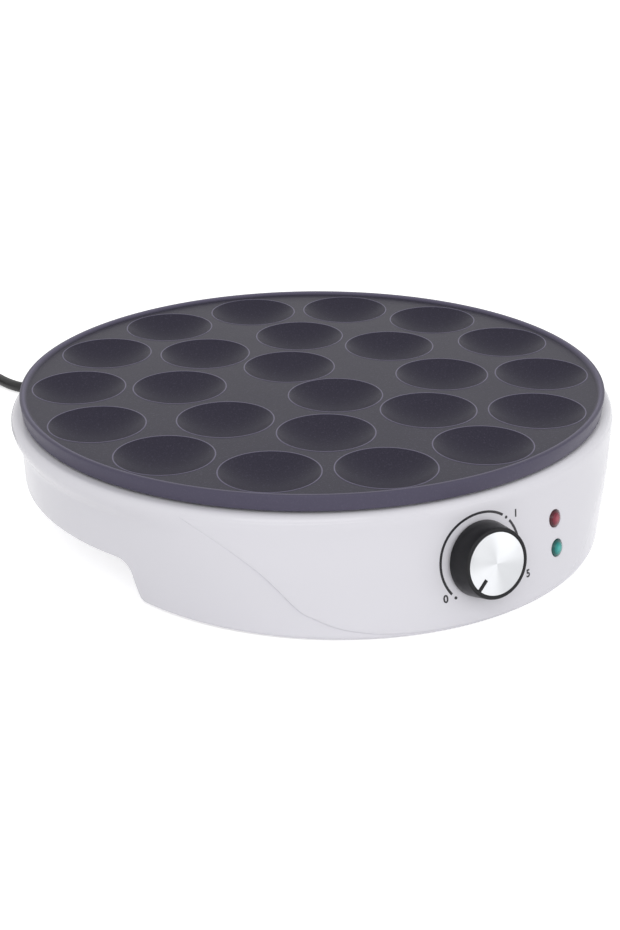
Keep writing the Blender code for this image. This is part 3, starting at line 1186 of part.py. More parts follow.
def strain_relief():
    inside = -WALL - RELIEF_PLAY
    outside = RELIEF_PLAY / 2
    turned("strain_relief", (
        (0, RELIEF_LENGTH), (RELIEF_END, RELIEF_LENGTH),
        (RELIEF_ROOT, outside + RELIEF_FLANGE_THICKNESS),
        (RELIEF_FLANGE, outside + RELIEF_FLANGE_THICKNESS), (RELIEF_FLANGE, outside), (RELIEF_NECK, outside),
        (RELIEF_NECK, inside), (RELIEF_FLANGE, inside),
        (RELIEF_FLANGE, inside - RELIEF_FLANGE_THICKNESS),
        (0, inside - RELIEF_FLANGE_THICKNESS)), CORD_BLACK, CORD_FRAME, steps=12)


def coil_point(turn):
    """The coil spirals in on the lower layer and out again on the upper one, and climbs where it reverses."""
    radius = COIL_OUTER - COIL_PITCH * min(turn, COIL_TURNS - turn)
    rise = COIL_PITCH * ease(turn, COIL_TURNS / 2 - 1 / 4, COIL_TURNS / 2 + 1 / 4)
    angle = 2 * math.pi * turn
    x, y = COIL_CENTRE
    return Vector((x + radius * math.cos(angle), y + radius * math.sin(angle), COIL_HEIGHT + rise))


def least_coil_gap():
    fine = 4 * COIL_POINTS_PER_TURN
    points = [coil_point(index / fine) for index in range(round(COIL_TURNS * fine) + 1)]
    nearest = min((one - other).length for index, one in enumerate(points)
                  for other in points[index + fine // 2:])
    return nearest - 2 * CORD_RADIUS


def cord():
    tube("mains_cord", squared_route(CORD_ROUTE, CORD_SPACING), CORD_RADIUS, CORD_BLACK)
    points = [coil_point(index / COIL_POINTS_PER_TURN)
              for index in range(round(COIL_TURNS * COIL_POINTS_PER_TURN) + 1)]
    start = points[0] - Vector((0, 2 * CORD_RADIUS, 0))
    tail = squared_route(TAIL_ROUTE, CORD_SPACING)
    tube("cord_coil", [start] + points + tail, CORD_RADIUS, CORD_BLACK, resolution=1)
    print(f"least gap of the coil to itself: {least_coil_gap():.5f} m")


def rounded_outline(half_width, half_height, corner):
    points = []
    for quarter, (x, y) in enumerate(((1, 1), (-1, 1), (-1, -1), (1, -1))):
        for step in range(4):
            turn = math.radians(90 * (quarter + step / 3))
            points.append((x * (half_width - corner) + corner * math.cos(turn),
                           y * (half_height - corner) + corner * math.sin(turn)))
    return points


def coil_tie():
    """A flat band round the strands of the coil at one side."""
    share = TIE_DEGREES / 360
    strands = [coil_point(turn + share) for turn in range(int(COIL_TURNS - share) + 1)]
    radii = [(strand.xy - Vector(COIL_CENTRE)).length for strand in strands]
    low, high = min(strand.z for strand in strands), max(strand.z for strand in strands)
    half_width = (max(radii) - min(radii)) / 2 + CORD_RADIUS + 2 * FIT
    half_height = (high - low) / 2 + CORD_RADIUS + FIT
    outer = rounded_outline(half_width + TIE_WALL, half_height + TIE_WALL, CORD_RADIUS + TIE_WALL)
    inner = rounded_outline(half_width, half_height, CORD_RADIUS)
    frame = (upright(COIL_CENTRE, (low + high) / 2)
             @ Matrix.Rotation(math.radians(TIE_DEGREES), 4, "Z")
             @ Matrix.Translation(((max(radii) + min(radii)) / 2, 0, 0))
             @ Matrix.Rotation(math.radians(90), 4, "X"))
    flat("coil_tie", outer, TIE_WIDTH, CORD_BLACK, frame, hole=inner)


def plug():
    frame = (Matrix.Translation(Vector(TAIL_ROUTE[-1]) - Vector((0, FIT, 0)))
             @ Matrix.Rotation(math.radians(90), 4, "X"))
    waist = PLUG_TAIL_LENGTH + PLUG_WAIST_LENGTH
    face = waist + PLUG_DISC
    turned("plug_body", (
        (0, face), (PLUG_DISC_RADIUS - PLUG_EDGE, face), (PLUG_DISC_RADIUS, face - PLUG_EDGE),
        (PLUG_DISC_RADIUS, waist), (PLUG_WAIST, waist - PLUG_DISC / 4), (PLUG_WAIST, PLUG_TAIL_LENGTH),
        (PLUG_TAIL, PLUG_TAIL_LENGTH - PLUG_DISC / 4), (PLUG_TAIL, 0), (0, 0)), CORD_BLACK, frame, steps=16)
    for number, side in ((1, -1), (2, 1)):
        low, high = face + FIT, face + FIT + PIN_LENGTH
        turned(f"plug_pin_{number}", (
            (0, high), (PIN_RADIUS - PIN_TIP, high), (PIN_RADIUS, high - PIN_TIP),
            (PIN_RADIUS, low), (0, low)), STEEL,
            frame @ Matrix.Translation((side * PIN_SPACING / 2, 0, 0)), steps=12)


# Frames that several pieces share
clear_scene()
PARTS = collection("mini_pancake_maker")
CUTTERS = collection("cutters")
WHITE_SHELL = material("white_gloss_plastic", (0.72, 0.71, 0.76), 0.22)
PLATE_COAT = material("non_stick_coating", (0.065, 0.060, 0.078), 0.45, 0.2)
BLACK_GLOSS = material("black_plastic", (0.012, 0.012, 0.014), 0.3)
BRIGHT = material("spun_aluminium", (0.85, 0.87, 0.88), 0.25, 1.0)
STEEL = material("zinc_plated_steel", (0.55, 0.55, 0.56), 0.35, 1.0)
ZINC = material("stamped_zinc", (0.5, 0.5, 0.48), 0.45, 1.0)
BRASS = material("brass", (0.72, 0.55, 0.25), 0.35, 1.0)
COPPER = material("copper", (0.75, 0.42, 0.28), 0.3, 1.0)
CERAMIC = material("steatite", (0.80, 0.78, 0.72), 0.6)
RUBBER = material("black_rubber", (0.02, 0.02, 0.02), 0.8)
RED_LENS = material("red_lens", (0.35, 0.02, 0.03), 0.15)
GREEN_LENS = material("green_lens", (0.01, 0.28, 0.20), 0.15)
GLASS = material("lamp_glass", (0.8, 0.6, 0.5), 0.1)
NYLON = material("natural_nylon", (0.75, 0.74, 0.70), 0.5)
CORD_BLACK = material("black_cord", (0.015, 0.015, 0.016), 0.5)
BLUE_WIRE = material("blue_wire", (0.05, 0.15, 0.55), 0.5)
BROWN_WIRE = material("brown_wire", (0.20, 0.09, 0.04), 0.5)

KNOB_FRAME = panel_frame(KNOB_AZIMUTH, KNOB_HEIGHT)
CONTROL_AXIS = KNOB_FRAME.to_3x3() @ Vector((0, 0, 1))
LAMP_FRAMES = [panel_frame(LAMP_AZIMUTH, height) for height in LAMP_HEIGHTS]
LAMP_SEAT = WALL + PAD_PROUD / 2
CORD_FRAME = (Matrix.Translation((0, skirt_radius(180, CORD_EXIT_HEIGHT), CORD_EXIT_HEIGHT))
              @ Matrix.Rotation(math.radians(-90), 4, "X"))
LEVER_AXIS_DEPTH = -CAM_DEPTH - CAM_RISE - FIT - LEVER_SIZE[2] / 2
LEVER_FRAME = KNOB_FRAME @ Matrix.Translation((LEVER_PIVOT, 0, LEVER_AXIS_DEPTH))
SADDLE_SEAT = CORD_EXIT_HEIGHT - SUPPLY_RADIUS - FIT
SADDLE_SCREW_ASIDE = SUPPLY_RADIUS + FIT + SADDLE_WALL + SADDLE_FOOT / 2

cooking_plate()
ends = heating_element()
element_clamps()
reflector_pan(ends)
housing()
base_cover()
feet_and_screws()
knob()
spindle()
contact_lever()
thermostat()
sensor()
mains_inside(ends, lamps())
strain_relief()
cord()
coil_tie()
plug()
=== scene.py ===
"""Finished surfaces of a mini pancake maker: a round dark plate with 24 hollows on a glossy white housing,
with its control knob, lamps, mains cord and plug, in a plain pale studio. Metres, +Z up, front towards -Y."""

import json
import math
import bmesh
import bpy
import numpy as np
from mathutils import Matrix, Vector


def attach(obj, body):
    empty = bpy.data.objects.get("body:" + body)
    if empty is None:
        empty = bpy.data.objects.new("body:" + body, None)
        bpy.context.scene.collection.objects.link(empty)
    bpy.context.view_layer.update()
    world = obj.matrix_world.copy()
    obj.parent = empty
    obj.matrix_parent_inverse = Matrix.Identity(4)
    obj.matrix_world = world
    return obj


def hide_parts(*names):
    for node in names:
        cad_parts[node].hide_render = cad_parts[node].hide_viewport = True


bl_info = {
    "name": "Mini pancake maker",
    "version": (1, 0, 0),
    "blender": (4, 5, 0),
    "location": "3D View > Sidebar > Pancake maker",
    "description": "Dresses the working parts of a round mini pancake maker and sets up its studio",
    "category": "Object",
}

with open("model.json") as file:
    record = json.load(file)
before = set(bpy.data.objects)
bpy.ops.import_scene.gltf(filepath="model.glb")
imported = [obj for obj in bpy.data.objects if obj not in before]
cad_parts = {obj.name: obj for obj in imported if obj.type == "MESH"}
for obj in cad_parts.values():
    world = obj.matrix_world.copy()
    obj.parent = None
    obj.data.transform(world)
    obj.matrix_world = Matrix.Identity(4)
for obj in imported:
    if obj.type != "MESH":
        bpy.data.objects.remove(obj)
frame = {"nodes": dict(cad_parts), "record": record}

SEAM = 0.00001                  # vertices closer than this are one
STEP = 0.0001                   # for slopes of the outer form
WHITE, BLACK, CORD = "white_gloss_plastic", "black_plastic", "black_cord"


# Sizes and colours

def size(name, words, value):
    return bpy.props.FloatProperty(name=name, description=words, default=value, unit="LENGTH",
                                   subtype="DISTANCE", precision=4)


def degrees(name, words, value):
    return bpy.props.FloatProperty(name=name, description=words, default=math.radians(value),
                                   subtype="ANGLE")


def colour(name, words, value):
    return bpy.props.FloatVectorProperty(name=name, description=words, default=value, subtype="COLOR",
                                         size=3, min=0.0, max=1.0)


def amount(name, words, value):
    return bpy.props.FloatProperty(name=name, description=words, default=value, min=0.0)


class PlateSettings(bpy.types.PropertyGroup):
    radius: size("Radius", "Outer radius of the cooking plate", 0.150)
    top: size("Top", "Height of the lip's crest over the table", 0.070)
    lip: size("Lip", "Height of the raised lip over the cooking surface", 0.0018)
    lip_width: size("Lip width", "Width of the lip's flat crest with its outer edge", 0.0022)
    band: size("Side band", "Height of the plate's side", 0.008)
    hollow_radius: size("Hollow radius", "Radius of a hollow where it meets the surface", 0.0235)
    hollow_depth: size("Hollow depth", "Depth of a hollow at its middle", 0.009)
    hollow_edge: size("Hollow edge", "Rounding of a hollow's edge", 0.0008)
    hollow_bead: size("Hollow bead", "Height of the fine bead round a hollow", 0.00016)
    coat: colour("Coating", "Colour of the non-stick coating", (0.037, 0.034, 0.050))


class HousingSettings(bpy.types.PropertyGroup):
    wall: size("Wall", "Thickness of the shell", 0.0025)
    edge: size("Edge", "Rounding of the lower edge", 0.0022)
    foot_corner: size("Foot corner", "Rounding of a leg's lower corners", 0.004)
    arch_corner: size("Arch corner", "Rounding of the arches' upper corners", 0.007)
    panel_proud: size("Panel", "How far the front panel stands out", 0.0012)
    panel_edge: size("Panel edge", "Rounding of the front panel's edge", 0.0008)
    shell: colour("Shell", "Colour of the moulded shell", (0.78, 0.77, 0.82))


class ControlSettings(bpy.types.PropertyGroup):
    knob_radius: size("Knob radius", "Radius of the knob at its foot", 0.0181)
    knob_front: size("Knob front", "Radius of the knob at its front", 0.0166)
    knob_depth: size("Knob depth", "Depth of the knob", 0.0116)
    disc_radius: size("Disc radius", "Radius of the bright disc", 0.0147)
    dial_radius: size("Dial radius", "Radius of the printed arcs", 0.0220)
    dial_width: size("Dial width", "Width of the printed arcs", 0.0012)
    digit_height: size("Digit height", "Height of the dial's numbers", 0.0037)
    plastic: colour("Knob", "Colour of the knob", (0.010, 0.010, 0.012))
    power: colour("Power lamp", "Colour of the upper lens", (0.20, 0.008, 0.028))
    ready: colour("Ready lamp", "Colour of the lower lens", (0.005, 0.25, 0.23))


class CordSettings(bpy.types.PropertyGroup):
    diameter: size("Diameter", "Diameter of the mains cord", 0.0065)
    plug_radius: size("Plug radius", "Radius of the plug's face", 0.0187)
    rubber: colour("Cord", "Colour of the cord and its plug", (0.013, 0.013, 0.014))


class StudioSettings(bpy.types.PropertyGroup):
    azimuth: degrees("Azimuth", "Turn of the camera round the object", -29.2)
    elevation: degrees("Elevation", "Height of the camera over the plate", 20.202)
    distance: size("Distance", "From the camera to the middle of the plate", 0.8801)
    pitch: degrees("Pitch", "How far the camera aims below the plate's middle", 2.962)
    yaw: degrees("Yaw", "How far the camera aims to the right of it", -0.085)
    roll: degrees("Roll", "Tilt of the camera", -0.477)
    lens: bpy.props.FloatProperty(name="Lens", description="Focal length in millimetres", default=65.67)
    world: amount("Room light", "Strength of the even light from all sides", 0.64)
    key: amount("Key light", "Power of the large light over the object", 5.2)
    side: amount("Side light", "Power of the light at the right", 1.3)


# The housing's outer form, as its solid has it: azimuths are in degrees, to the right of the front

ROLL = 0.150                    # the form is unrolled at this radius
SHELF_TOP, SHELF_INNER = 0.0606, 0.141       # the shelf round the plate: its height and inner radius
SHOULDER = 0.004                # rounding from the wall to the shelf
LIP_RADIUS, FRONT_SHOULDER = 0.155, 0.1505   # outer radius at the shoulder: at the sides, in front
WALL_TOP, WALL_LOW = 0.1506, 0.1498          # radius of the side wall under the lip and over the arches
LIP_UNDER = 0.0485
FLARE_LOW = 0.046               # from here up the side wall flares out to the lip
WAIST_RADIUS, WAIST = 0.1533, 0.0286         # the widest place of the curved front, and its height
FOOT_EDGE = 0.001               # height of the legs' lower edge
FRONT_ARC, FRONT_ARC_FORWARD = 0.1328, 0.0266   # the front's lower edge is an arc round a point in front
REAR_LEG_RADIUS = 0.1440
FRONT_BLEND = (45, 70)          # azimuths between which the front gives way to the side wall
LEG_SPANS = ((-64, 64), (131, 165), (195, 229))
ARCH_TOP = 0.0248
SIDE_POWER = 1.5                # how the side wall curves in to the foot
CURVE_TOP = SHELF_TOP - SHOULDER
ARC_LENGTH = SHOULDER * math.pi / 2
SHELF_REACH = 0.008             # how much of the unrolled form the shelf takes
SHEET_TOP = CURVE_TOP + ARC_LENGTH + SHELF_REACH
COLUMNS = 160                   # of faces round the form
# The front panel's border from its upper right end down to the middle, as azimuths and heights
PANEL_LINE = ((52.0, 0.0566), (44.7, 0.0455), (37.9, 0.0325), (31.9, 0.0160), (29.0, 0.0115),
              (25.6, 0.0075), (22.3, 0.0052), (17.5, 0.0033), (9.0, 0.0024), (0.0, 0.0022))
PANEL_TOP = 0.0588
PANEL_CREST, PANEL_CALM = 0.0003, 0.0500     # how far its upper part stands out, and from what height
PANEL_SUNK = 0.0004             # how far the panel's top lies under the shell's face
PANEL_LOW_FADE = 0.0085         # below this height it thins
KNOB_PLACE = (0.5, 0.0312)      # azimuth and height
LAMP_PLACES = ((18.7, 0.0361), (18.7, 0.0214))
CORD_HEIGHT = 0.0345


def ease(value, low, high):
    """Rises smoothly from 0 at low to 1 at high."""
    share = min(1.0, max(0.0, (value - low) / (high - low)))
    return share * share * (3 - 2 * share)


def unrolled(azimuth):
    """How far round the unrolled form an azimuth lies."""
    return math.radians(azimuth) * ROLL


def polar(radius, azimuth, height=0.0):
    """A point at a radius, an azimuth and a height."""
    angle = math.radians(azimuth)
    return Vector((radius * math.sin(angle), -radius * math.cos(angle), height))


def from_front(azimuth):
    """How far round from the front an azimuth lies, on either side."""
    return abs((azimuth + 180) % 360 - 180)


def shoulder_radius(azimuth):
    """Outer radius at the shoulder, which is smaller over the front panel."""
    turn = math.radians(min(1.0, from_front(azimuth) / FRONT_BLEND[1]) * 180)
    return LIP_RADIUS + (FRONT_SHOULDER - LIP_RADIUS) * (1 + math.cos(turn)) / 2


def foot_radius(azimuth):
    """Radius of the lower edge: an arc in front, and a circle at the rear legs."""
    angle = math.radians(min(from_front(azimuth), LEG_SPANS[0][1]))
    aside = FRONT_ARC_FORWARD * math.sin(angle)
    front = FRONT_ARC_FORWARD * math.cos(angle) + math.sqrt(FRONT_ARC ** 2 - aside ** 2)
    return front + (REAR_LEG_RADIUS - front) * ease(from_front(azimuth), LEG_SPANS[0][1], LEG_SPANS[1][0])


def wall_radius(azimuth, height):
    """Radius of the wall under the shoulder: a curved front that gives way to a straight wall with a lip."""
    shoulder, foot = shoulder_radius(azimuth), foot_radius(azimuth)
    top, waist, low = CURVE_TOP, WAIST, FOOT_EDGE
    a = (height - waist) * (height - low) / ((top - waist) * (top - low))
    b = (height - top) * (height - low) / ((waist - top) * (waist - low))
    c = (height - top) * (height - waist) / ((low - top) * (low - waist))
    front = a * shoulder + b * WAIST_RADIUS + c * foot
    side = WALL_LOW + (WALL_TOP - WALL_LOW) * (height - ARCH_TOP) / (LIP_UNDER - ARCH_TOP)
    side += (shoulder - side) * ease(height, FLARE_LOW, top)
    if height < ARCH_TOP:
        side = WALL_LOW + (foot - WALL_LOW) * ((ARCH_TOP - height) / (ARCH_TOP - low)) ** SIDE_POWER
    share = 1.0 - ease(from_front(azimuth), *FRONT_BLEND)
    return share * front + (1 - share) * side


def skin(azimuth, run):
    """A point of the outer form: run goes up the wall, round the shoulder and inwards along the shelf."""
    if run <= CURVE_TOP:
        return polar(wall_radius(azimuth, run), azimuth, run)
    edge = shoulder_radius(azimuth) - SHOULDER
    if run <= CURVE_TOP + ARC_LENGTH:
        turn = (run - CURVE_TOP) / SHOULDER
        return polar(edge + SHOULDER * math.cos(turn), azimuth, CURVE_TOP + SHOULDER * math.sin(turn))
    share = (run - CURVE_TOP - ARC_LENGTH) / SHELF_REACH
    return polar(edge + (SHELF_INNER - edge) * share, azimuth, SHELF_TOP)


def skin_normal(azimuth, run):
    """The way out of the outer form at a point of it."""
    turn = math.degrees(STEP / ROLL)
    aside = skin(azimuth + turn, run) - skin(azimuth - turn, run)
    up = skin(azimuth, min(run + STEP, SHEET_TOP)) - skin(azimuth, run - STEP)
    return aside.cross(up).normalized()


def panel_proud(height, proud):
    """How far the front panel stands out: it sinks into the shell at its top and thins at its lower edge."""
    rise = ease(PANEL_CALM - height, 0, PANEL_CALM - WAIST)
    sunk = (PANEL_CREST + PANEL_SUNK) * ease(height, CURVE_TOP, PANEL_TOP)
    low = 0.5 + 0.5 * ease(height, 0, PANEL_LOW_FADE)
    return (PANEL_CREST + (proud - PANEL_CREST) * rise - sunk) * low


def panel_point(azimuth, height, lift):
    """A point over the front panel's face."""
    proud = panel_proud(height, bpy.context.scene.pancake_housing.panel_proud)
    return skin(azimuth, height) + skin_normal(azimuth, height) * (proud + lift)


def panel_frame(azimuth, height):
    """A frame on the panel's face: +Z out of it, +Y up along it, +X to the right from the front."""
    settings = bpy.context.scene.pancake_housing
    low, middle, high = [
        polar(wall_radius(azimuth, spot) + panel_proud(spot, settings.panel_proud), azimuth, spot)
        for spot in (height - settings.wall, height, height + settings.wall)]
    up, side = (high - low).normalized(), polar(1, azimuth + 90)
    matrix = Matrix((side, up, side.cross(up).normalized())).transposed().to_4x4()
    matrix.translation = middle
    return matrix


# Materials

class Signal:
    """A value or colour on its way through a material's nodes."""

    def __init__(self, tree, socket):
        self.tree, self.socket = tree, socket

    def maths(self, operation, other, swapped=False):
        node = self.tree.nodes.new("ShaderNodeMath")
        node.operation = operation
        for socket, value in zip(node.inputs, (other, self) if swapped else (self, other)):
            if isinstance(value, Signal):
                self.tree.links.new(value.socket, socket)
            else:
                socket.default_value = value
        return Signal(self.tree, node.outputs[0])

    def __add__(self, other): return self.maths("ADD", other)
    def __radd__(self, other): return self.maths("ADD", other, True)
    def __mul__(self, other): return self.maths("MULTIPLY", other)
    def __rmul__(self, other): return self.maths("MULTIPLY", other, True)
    def __pow__(self, other): return self.maths("POWER", other)


class Finish:
    """A Principled material and the nodes that feed it."""

    def __init__(self, name, **fixed):
        self.material = bpy.data.materials.new(name)
        self.material.use_nodes = True
        self.tree = self.material.node_tree
        self.shader = self.tree.nodes["Principled BSDF"]
        for key, value in fixed.items():
            self.shader.inputs[key.replace("_", " ")].default_value = value

    def node(self, kind, settings=None, inputs=None, output=0):
        """Adds a node, first its settings, then its sockets, and returns one of its outputs."""
        made = self.tree.nodes.new(kind)
        for key, value in (settings or {}).items():
            setattr(made, key, value)
        for key, value in (inputs or {}).items():
            if isinstance(value, Signal):
                self.tree.links.new(value.socket, made.inputs[key])
            else:
                made.inputs[key].default_value = value
        return Signal(self.tree, made.outputs[output])

    def place(self, matrix=None):
        """Object coordinates, or those of a frame on the object."""
        spot = self.node("ShaderNodeTexCoord", output=3)
        if matrix is None:
            return spot
        back = matrix.inverted()
        return self.node("ShaderNodeMapping", {"vector_type": "POINT"},
                         {"Vector": spot, "Location": back.translation, "Rotation": back.to_euler()})

    def from_axis(self, matrix):
        """Sideways, upwards and straight distance from the axis of a frame on the object."""
        x = self.node("ShaderNodeSeparateXYZ", None, {"Vector": self.place(matrix)})
        y = Signal(self.tree, x.socket.node.outputs[1])
        return x, y, (x * x + y * y) ** 0.5

    def noise(self, scale, detail=2.0, place=None, roughness=0.5):
        return self.node("ShaderNodeTexNoise", None, {
            "Vector": place or self.place(), "Scale": scale, "Detail": detail, "Roughness": roughness})

    def between(self, share, one, other):
        """A colour that goes from one to the other as share goes from 0 to 1."""
        def shade(value):
            return value if isinstance(value, Signal) else (*value, 1.0)
        return self.node("ShaderNodeMix", {"data_type": "RGBA"},
                         {0: share, 6: shade(one), 7: shade(other)}, output=2)

    def band(self, value, low, high):
        """Rises smoothly from 0 at low to 1 at high."""
        return self.node("ShaderNodeMapRange", {"interpolation_type": "SMOOTHSTEP"},
                         {"Value": value, "From Min": low, "From Max": high})

    def bump(self, height, strength, distance):
        return self.node("ShaderNodeBump", None, {"Height": height, "Strength": strength,
                                                  "Distance": distance})

    def feed(self, **links):
        for key, value in links.items():
            self.tree.links.new(value.socket, self.shader.inputs[key.replace("_", " ")])
        return self.material


def tinted(value, factor, lift=0.0):
    """A colour made brighter or darker by a factor, and lighter by lift."""
    return tuple(min(1.0, part * factor + lift) for part in value)


def shell_finish(name, shade):
    """Glossy moulded plastic with a faint orange peel and slightly uneven gloss."""
    finish = Finish(name, Coat_Weight=0.12, Coat_Roughness=0.06, IOR=1.5, Specular_IOR_Level=0.3)
    cloud = finish.noise(14.0, 3.0)
    peel = finish.noise(520.0, 1.0)
    return finish.feed(Base_Color=finish.between(cloud, tinted(shade, 0.985), tinted(shade, 1.015)),
                       Roughness=0.20 + cloud * 0.07,
                       Normal=finish.bump(peel, 0.05, 0.0002))


def coating_finish(name, shade):
    """Sprayed non-stick coating: satin, with a fine grain and scattered lighter flecks, and painted
    highlights and reflection where the plate marks them.
    """
    finish = Finish(name, IOR=1.5, Specular_IOR_Level=0.14, Specular_Tint=(0.80, 0.76, 1.0, 1.0))
    grain = finish.noise(1900.0, 2.0)
    fleck = finish.band(finish.noise(1150.0, 1.0), 0.58, 0.72)
    cloud = finish.noise(22.0, 2.0)
    dark = finish.between(grain, tinted(shade, 0.66), tinted(shade, 1.36))
    sprayed = finish.between(fleck * 0.45, dark, tinted(shade, 2.0))
    # painted highlight and reflection: where the plate marks it, the coating is painted up to 4.6 times
    # brighter
    painted_light = finish.node("ShaderNodeAttribute", {"attribute_name": "painted_light"}, output=2)
    return finish.feed(Base_Color=finish.between(painted_light, sprayed, tinted(shade, 4.6)),
                       Roughness=0.32 + grain * 0.08 + cloud * 0.05,
                       Normal=finish.bump(grain + fleck * 0.5, 0.18, 0.0002))


def moulded_finish(name, shade, roughness=0.35, peel=0.08, gloss=0.5):
    """Plain plastic, rubber or ceramic: peel is how rough its face is, gloss how much it reflects."""
    finish = Finish(name, IOR=1.48, Specular_IOR_Level=gloss)
    cloud = finish.noise(60.0, 3.0)
    grain = finish.noise(900.0, 2.0)
    return finish.feed(Base_Color=finish.between(cloud, tinted(shade, 0.88), tinted(shade, 1.12)),
                       Roughness=roughness - 0.05 + cloud * 0.1,
                       Normal=finish.bump(grain, peel, 0.0002))


def metal_finish(name, shade, roughness=0.32):
    """Drawn or stamped metal with faint streaks along its height."""
    finish = Finish(name, Metallic=1.0)
    brushed = finish.node("ShaderNodeMapping", None, {"Vector": finish.place(), "Scale": (1.0, 1.0, 14.0)})
    streaks = finish.noise(160.0, 4.0, brushed, 0.6)
    cloud = finish.noise(35.0, 2.0)
    return finish.feed(Base_Color=finish.between(streaks, tinted(shade, 0.86), tinted(shade, 1.08)),
                       Roughness=roughness - 0.08 + streaks * 0.1 + cloud * 0.1,
                       Normal=finish.bump(streaks, 0.06, 0.0002))


def spun_finish(name, shade, matrix):
    """Metal turned on a lathe: rings round the axis, and a painted sheen that fans out from it."""
    finish = Finish(name, Metallic=1.0, Anisotropic=0.6)
    x, y, reach = finish.from_axis(matrix)
    turn = y.maths("ARCTAN2", x)
    fan, fine = ((turn * rays).maths("SINE", 0.0) for rays in (2.0, 6.0))
    rings = finish.node("ShaderNodeTexNoise", {"noise_dimensions": "1D"},
                        {"W": reach, "Scale": 5200.0, "Detail": 2.0})
    # painted reflection: the colour fans out round the axis like the sheen of turned metal, and the rings add
    # their own tone
    painted_sheen_and_rings = finish.band(fan + fine * 0.25, -1.2, 1.2) * 0.8 + rings * 0.2
    return finish.feed(Base_Color=finish.between(painted_sheen_and_rings, tinted(shade, 0.84), tinted(shade, 1.12)),
                       Roughness=0.30 + rings * 0.10,
                       Normal=finish.bump(rings, 0.10, 0.0001))


def lens_finish(name, shade, matrix, radius):
    """Clear coloured plastic with a painted highlight in its middle, darker round its edge."""
    finish = Finish(name, Coat_Weight=0.3, Coat_Roughness=0.05, IOR=1.3)
    reach = finish.from_axis(matrix)[2]
    rim = finish.band(reach, radius * 0.60, radius * 0.90)
    # painted highlight: the lens is painted brighter towards its middle
    glow = finish.band(reach, radius * 0.60, radius * 0.10)
    grain = finish.noise(1400.0, 2.0)
    lit = finish.between(glow * 0.75, shade, tinted(shade, 1.9, 0.05))
    return finish.feed(Base_Color=finish.between(rim * 0.75, lit, tinted(shade, 0.12)),
                       Roughness=0.12 + grain * 0.06,
                       Normal=finish.bump(grain, 0.04, 0.0001))


def looked_at(tree):
    """1 for the camera's own rays and for reflections."""
    path = tree.nodes.new("ShaderNodeLightPath")
    return Signal(tree, path.outputs[0]).maths("MAXIMUM", Signal(tree, path.outputs[3]))


def stage_finish(name, shade, glow):
    """Pale floor that keeps a shadow: seen by the camera it is a little brighter than it is lit."""
    finish = Finish(name, Roughness=0.9, Specular_IOR_Level=0.0, Emission_Strength=glow)
    seen = looked_at(finish.tree)
    cloud = finish.noise(3.0)
    return finish.feed(Base_Color=finish.between(cloud, tinted(shade, 0.995), shade),
                       Emission_Color=finish.between(seen, (0.0, 0.0, 0.0), (1.0, 1.0, 1.0)))


# Making meshes

def moved(x=0.0, y=0.0, z=0.0):
    """A shift."""
    return Matrix.Translation((x, y, z))


def turned(angle, axis):
    """A turn by degrees."""
    return Matrix.Rotation(math.radians(angle), 4, axis)


def circle(shape, radius, steps, centre=(0, 0, 0)):
    """Adds a circle to a shape, and returns its vertices and its edges."""
    verts = bmesh.ops.create_circle(shape, cap_ends=False, radius=radius, segments=steps,
                                    matrix=moved(*centre))["verts"]
    return verts, list(dict.fromkeys(edge for vert in verts for edge in vert.link_edges))


def placed(name, data):
    """A new object in the scene."""
    thing = bpy.data.objects.new(name, data)
    bpy.context.scene.collection.objects.link(thing)
    return thing


def mesh_of(name, shape, coat):
    """Makes a bmesh a mesh with one material, and frees it."""
    mesh = bpy.data.meshes.new(name)
    shape.to_mesh(mesh)
    shape.free()
    mesh.materials.append(coat)
    return mesh


def round_about(radius, azimuths):
    """Frames on a circle round the middle."""
    return [Matrix.Translation(polar(radius, azimuth)) for azimuth in azimuths]


def new_verts(made):
    return [item for item in made["geom"] if isinstance(item, bmesh.types.BMVert)]


def new_edges(made, verts):
    """Those new edges that run between the given vertices."""
    within = set(verts)
    return [item for item in made["geom"]
            if isinstance(item, bmesh.types.BMEdge) and within.issuperset(item.verts)]


def finished(name, shape, coat, body="base", nodes=(), angle=34.0):
    """Makes a bmesh a finished piece that rides on a body and stands for CAD nodes."""
    bmesh.ops.remove_doubles(shape, verts=shape.verts, dist=SEAM)
    bmesh.ops.dissolve_degenerate(shape, edges=shape.edges, dist=SEAM / 10)
    bmesh.ops.recalc_face_normals(shape, faces=shape.faces)
    mesh = mesh_of(name, shape, coat)
    mesh.shade_smooth()
    mesh.set_sharp_from_angle(angle=math.radians(angle))
    return dressed(placed(name, mesh), body, nodes)


def dressed(piece, body="base", nodes=()):
    """Lets a piece ride on a body, and hides the nodes that it stands for."""
    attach(piece, body)
    if nodes:
        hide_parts(*nodes)
    return piece


def eased(corners, steps=4, closed=False):
    """An outline of (x, y) or (x, y, radius) corners, with its corners rounded by their radius."""
    points = []
    for index, corner in enumerate(corners):
        here = Vector(corner[:2])
        if len(corner) < 3 or (not closed and index in (0, len(corners) - 1)):
            points.append(here)
            continue
        before = (Vector(corners[index - 1][:2]) - here).normalized()
        after = (Vector(corners[(index + 1) % len(corners)][:2]) - here).normalized()
        half = before.angle(after) / 2
        centre = here + (before + after).normalized() * corner[2] / math.sin(half)
        start = here + before * corner[2] / math.tan(half) - centre
        finish = here + after * corner[2] / math.tan(half) - centre
        first = math.atan2(start.y, start.x)
        turn = (math.atan2(finish.y, finish.x) - first + math.pi) % (2 * math.pi) - math.pi
        for step in range(steps + 1):
            angle = first + turn * step / steps
            points.append(centre + Vector((math.cos(angle), math.sin(angle))) * corner[2])
    return points


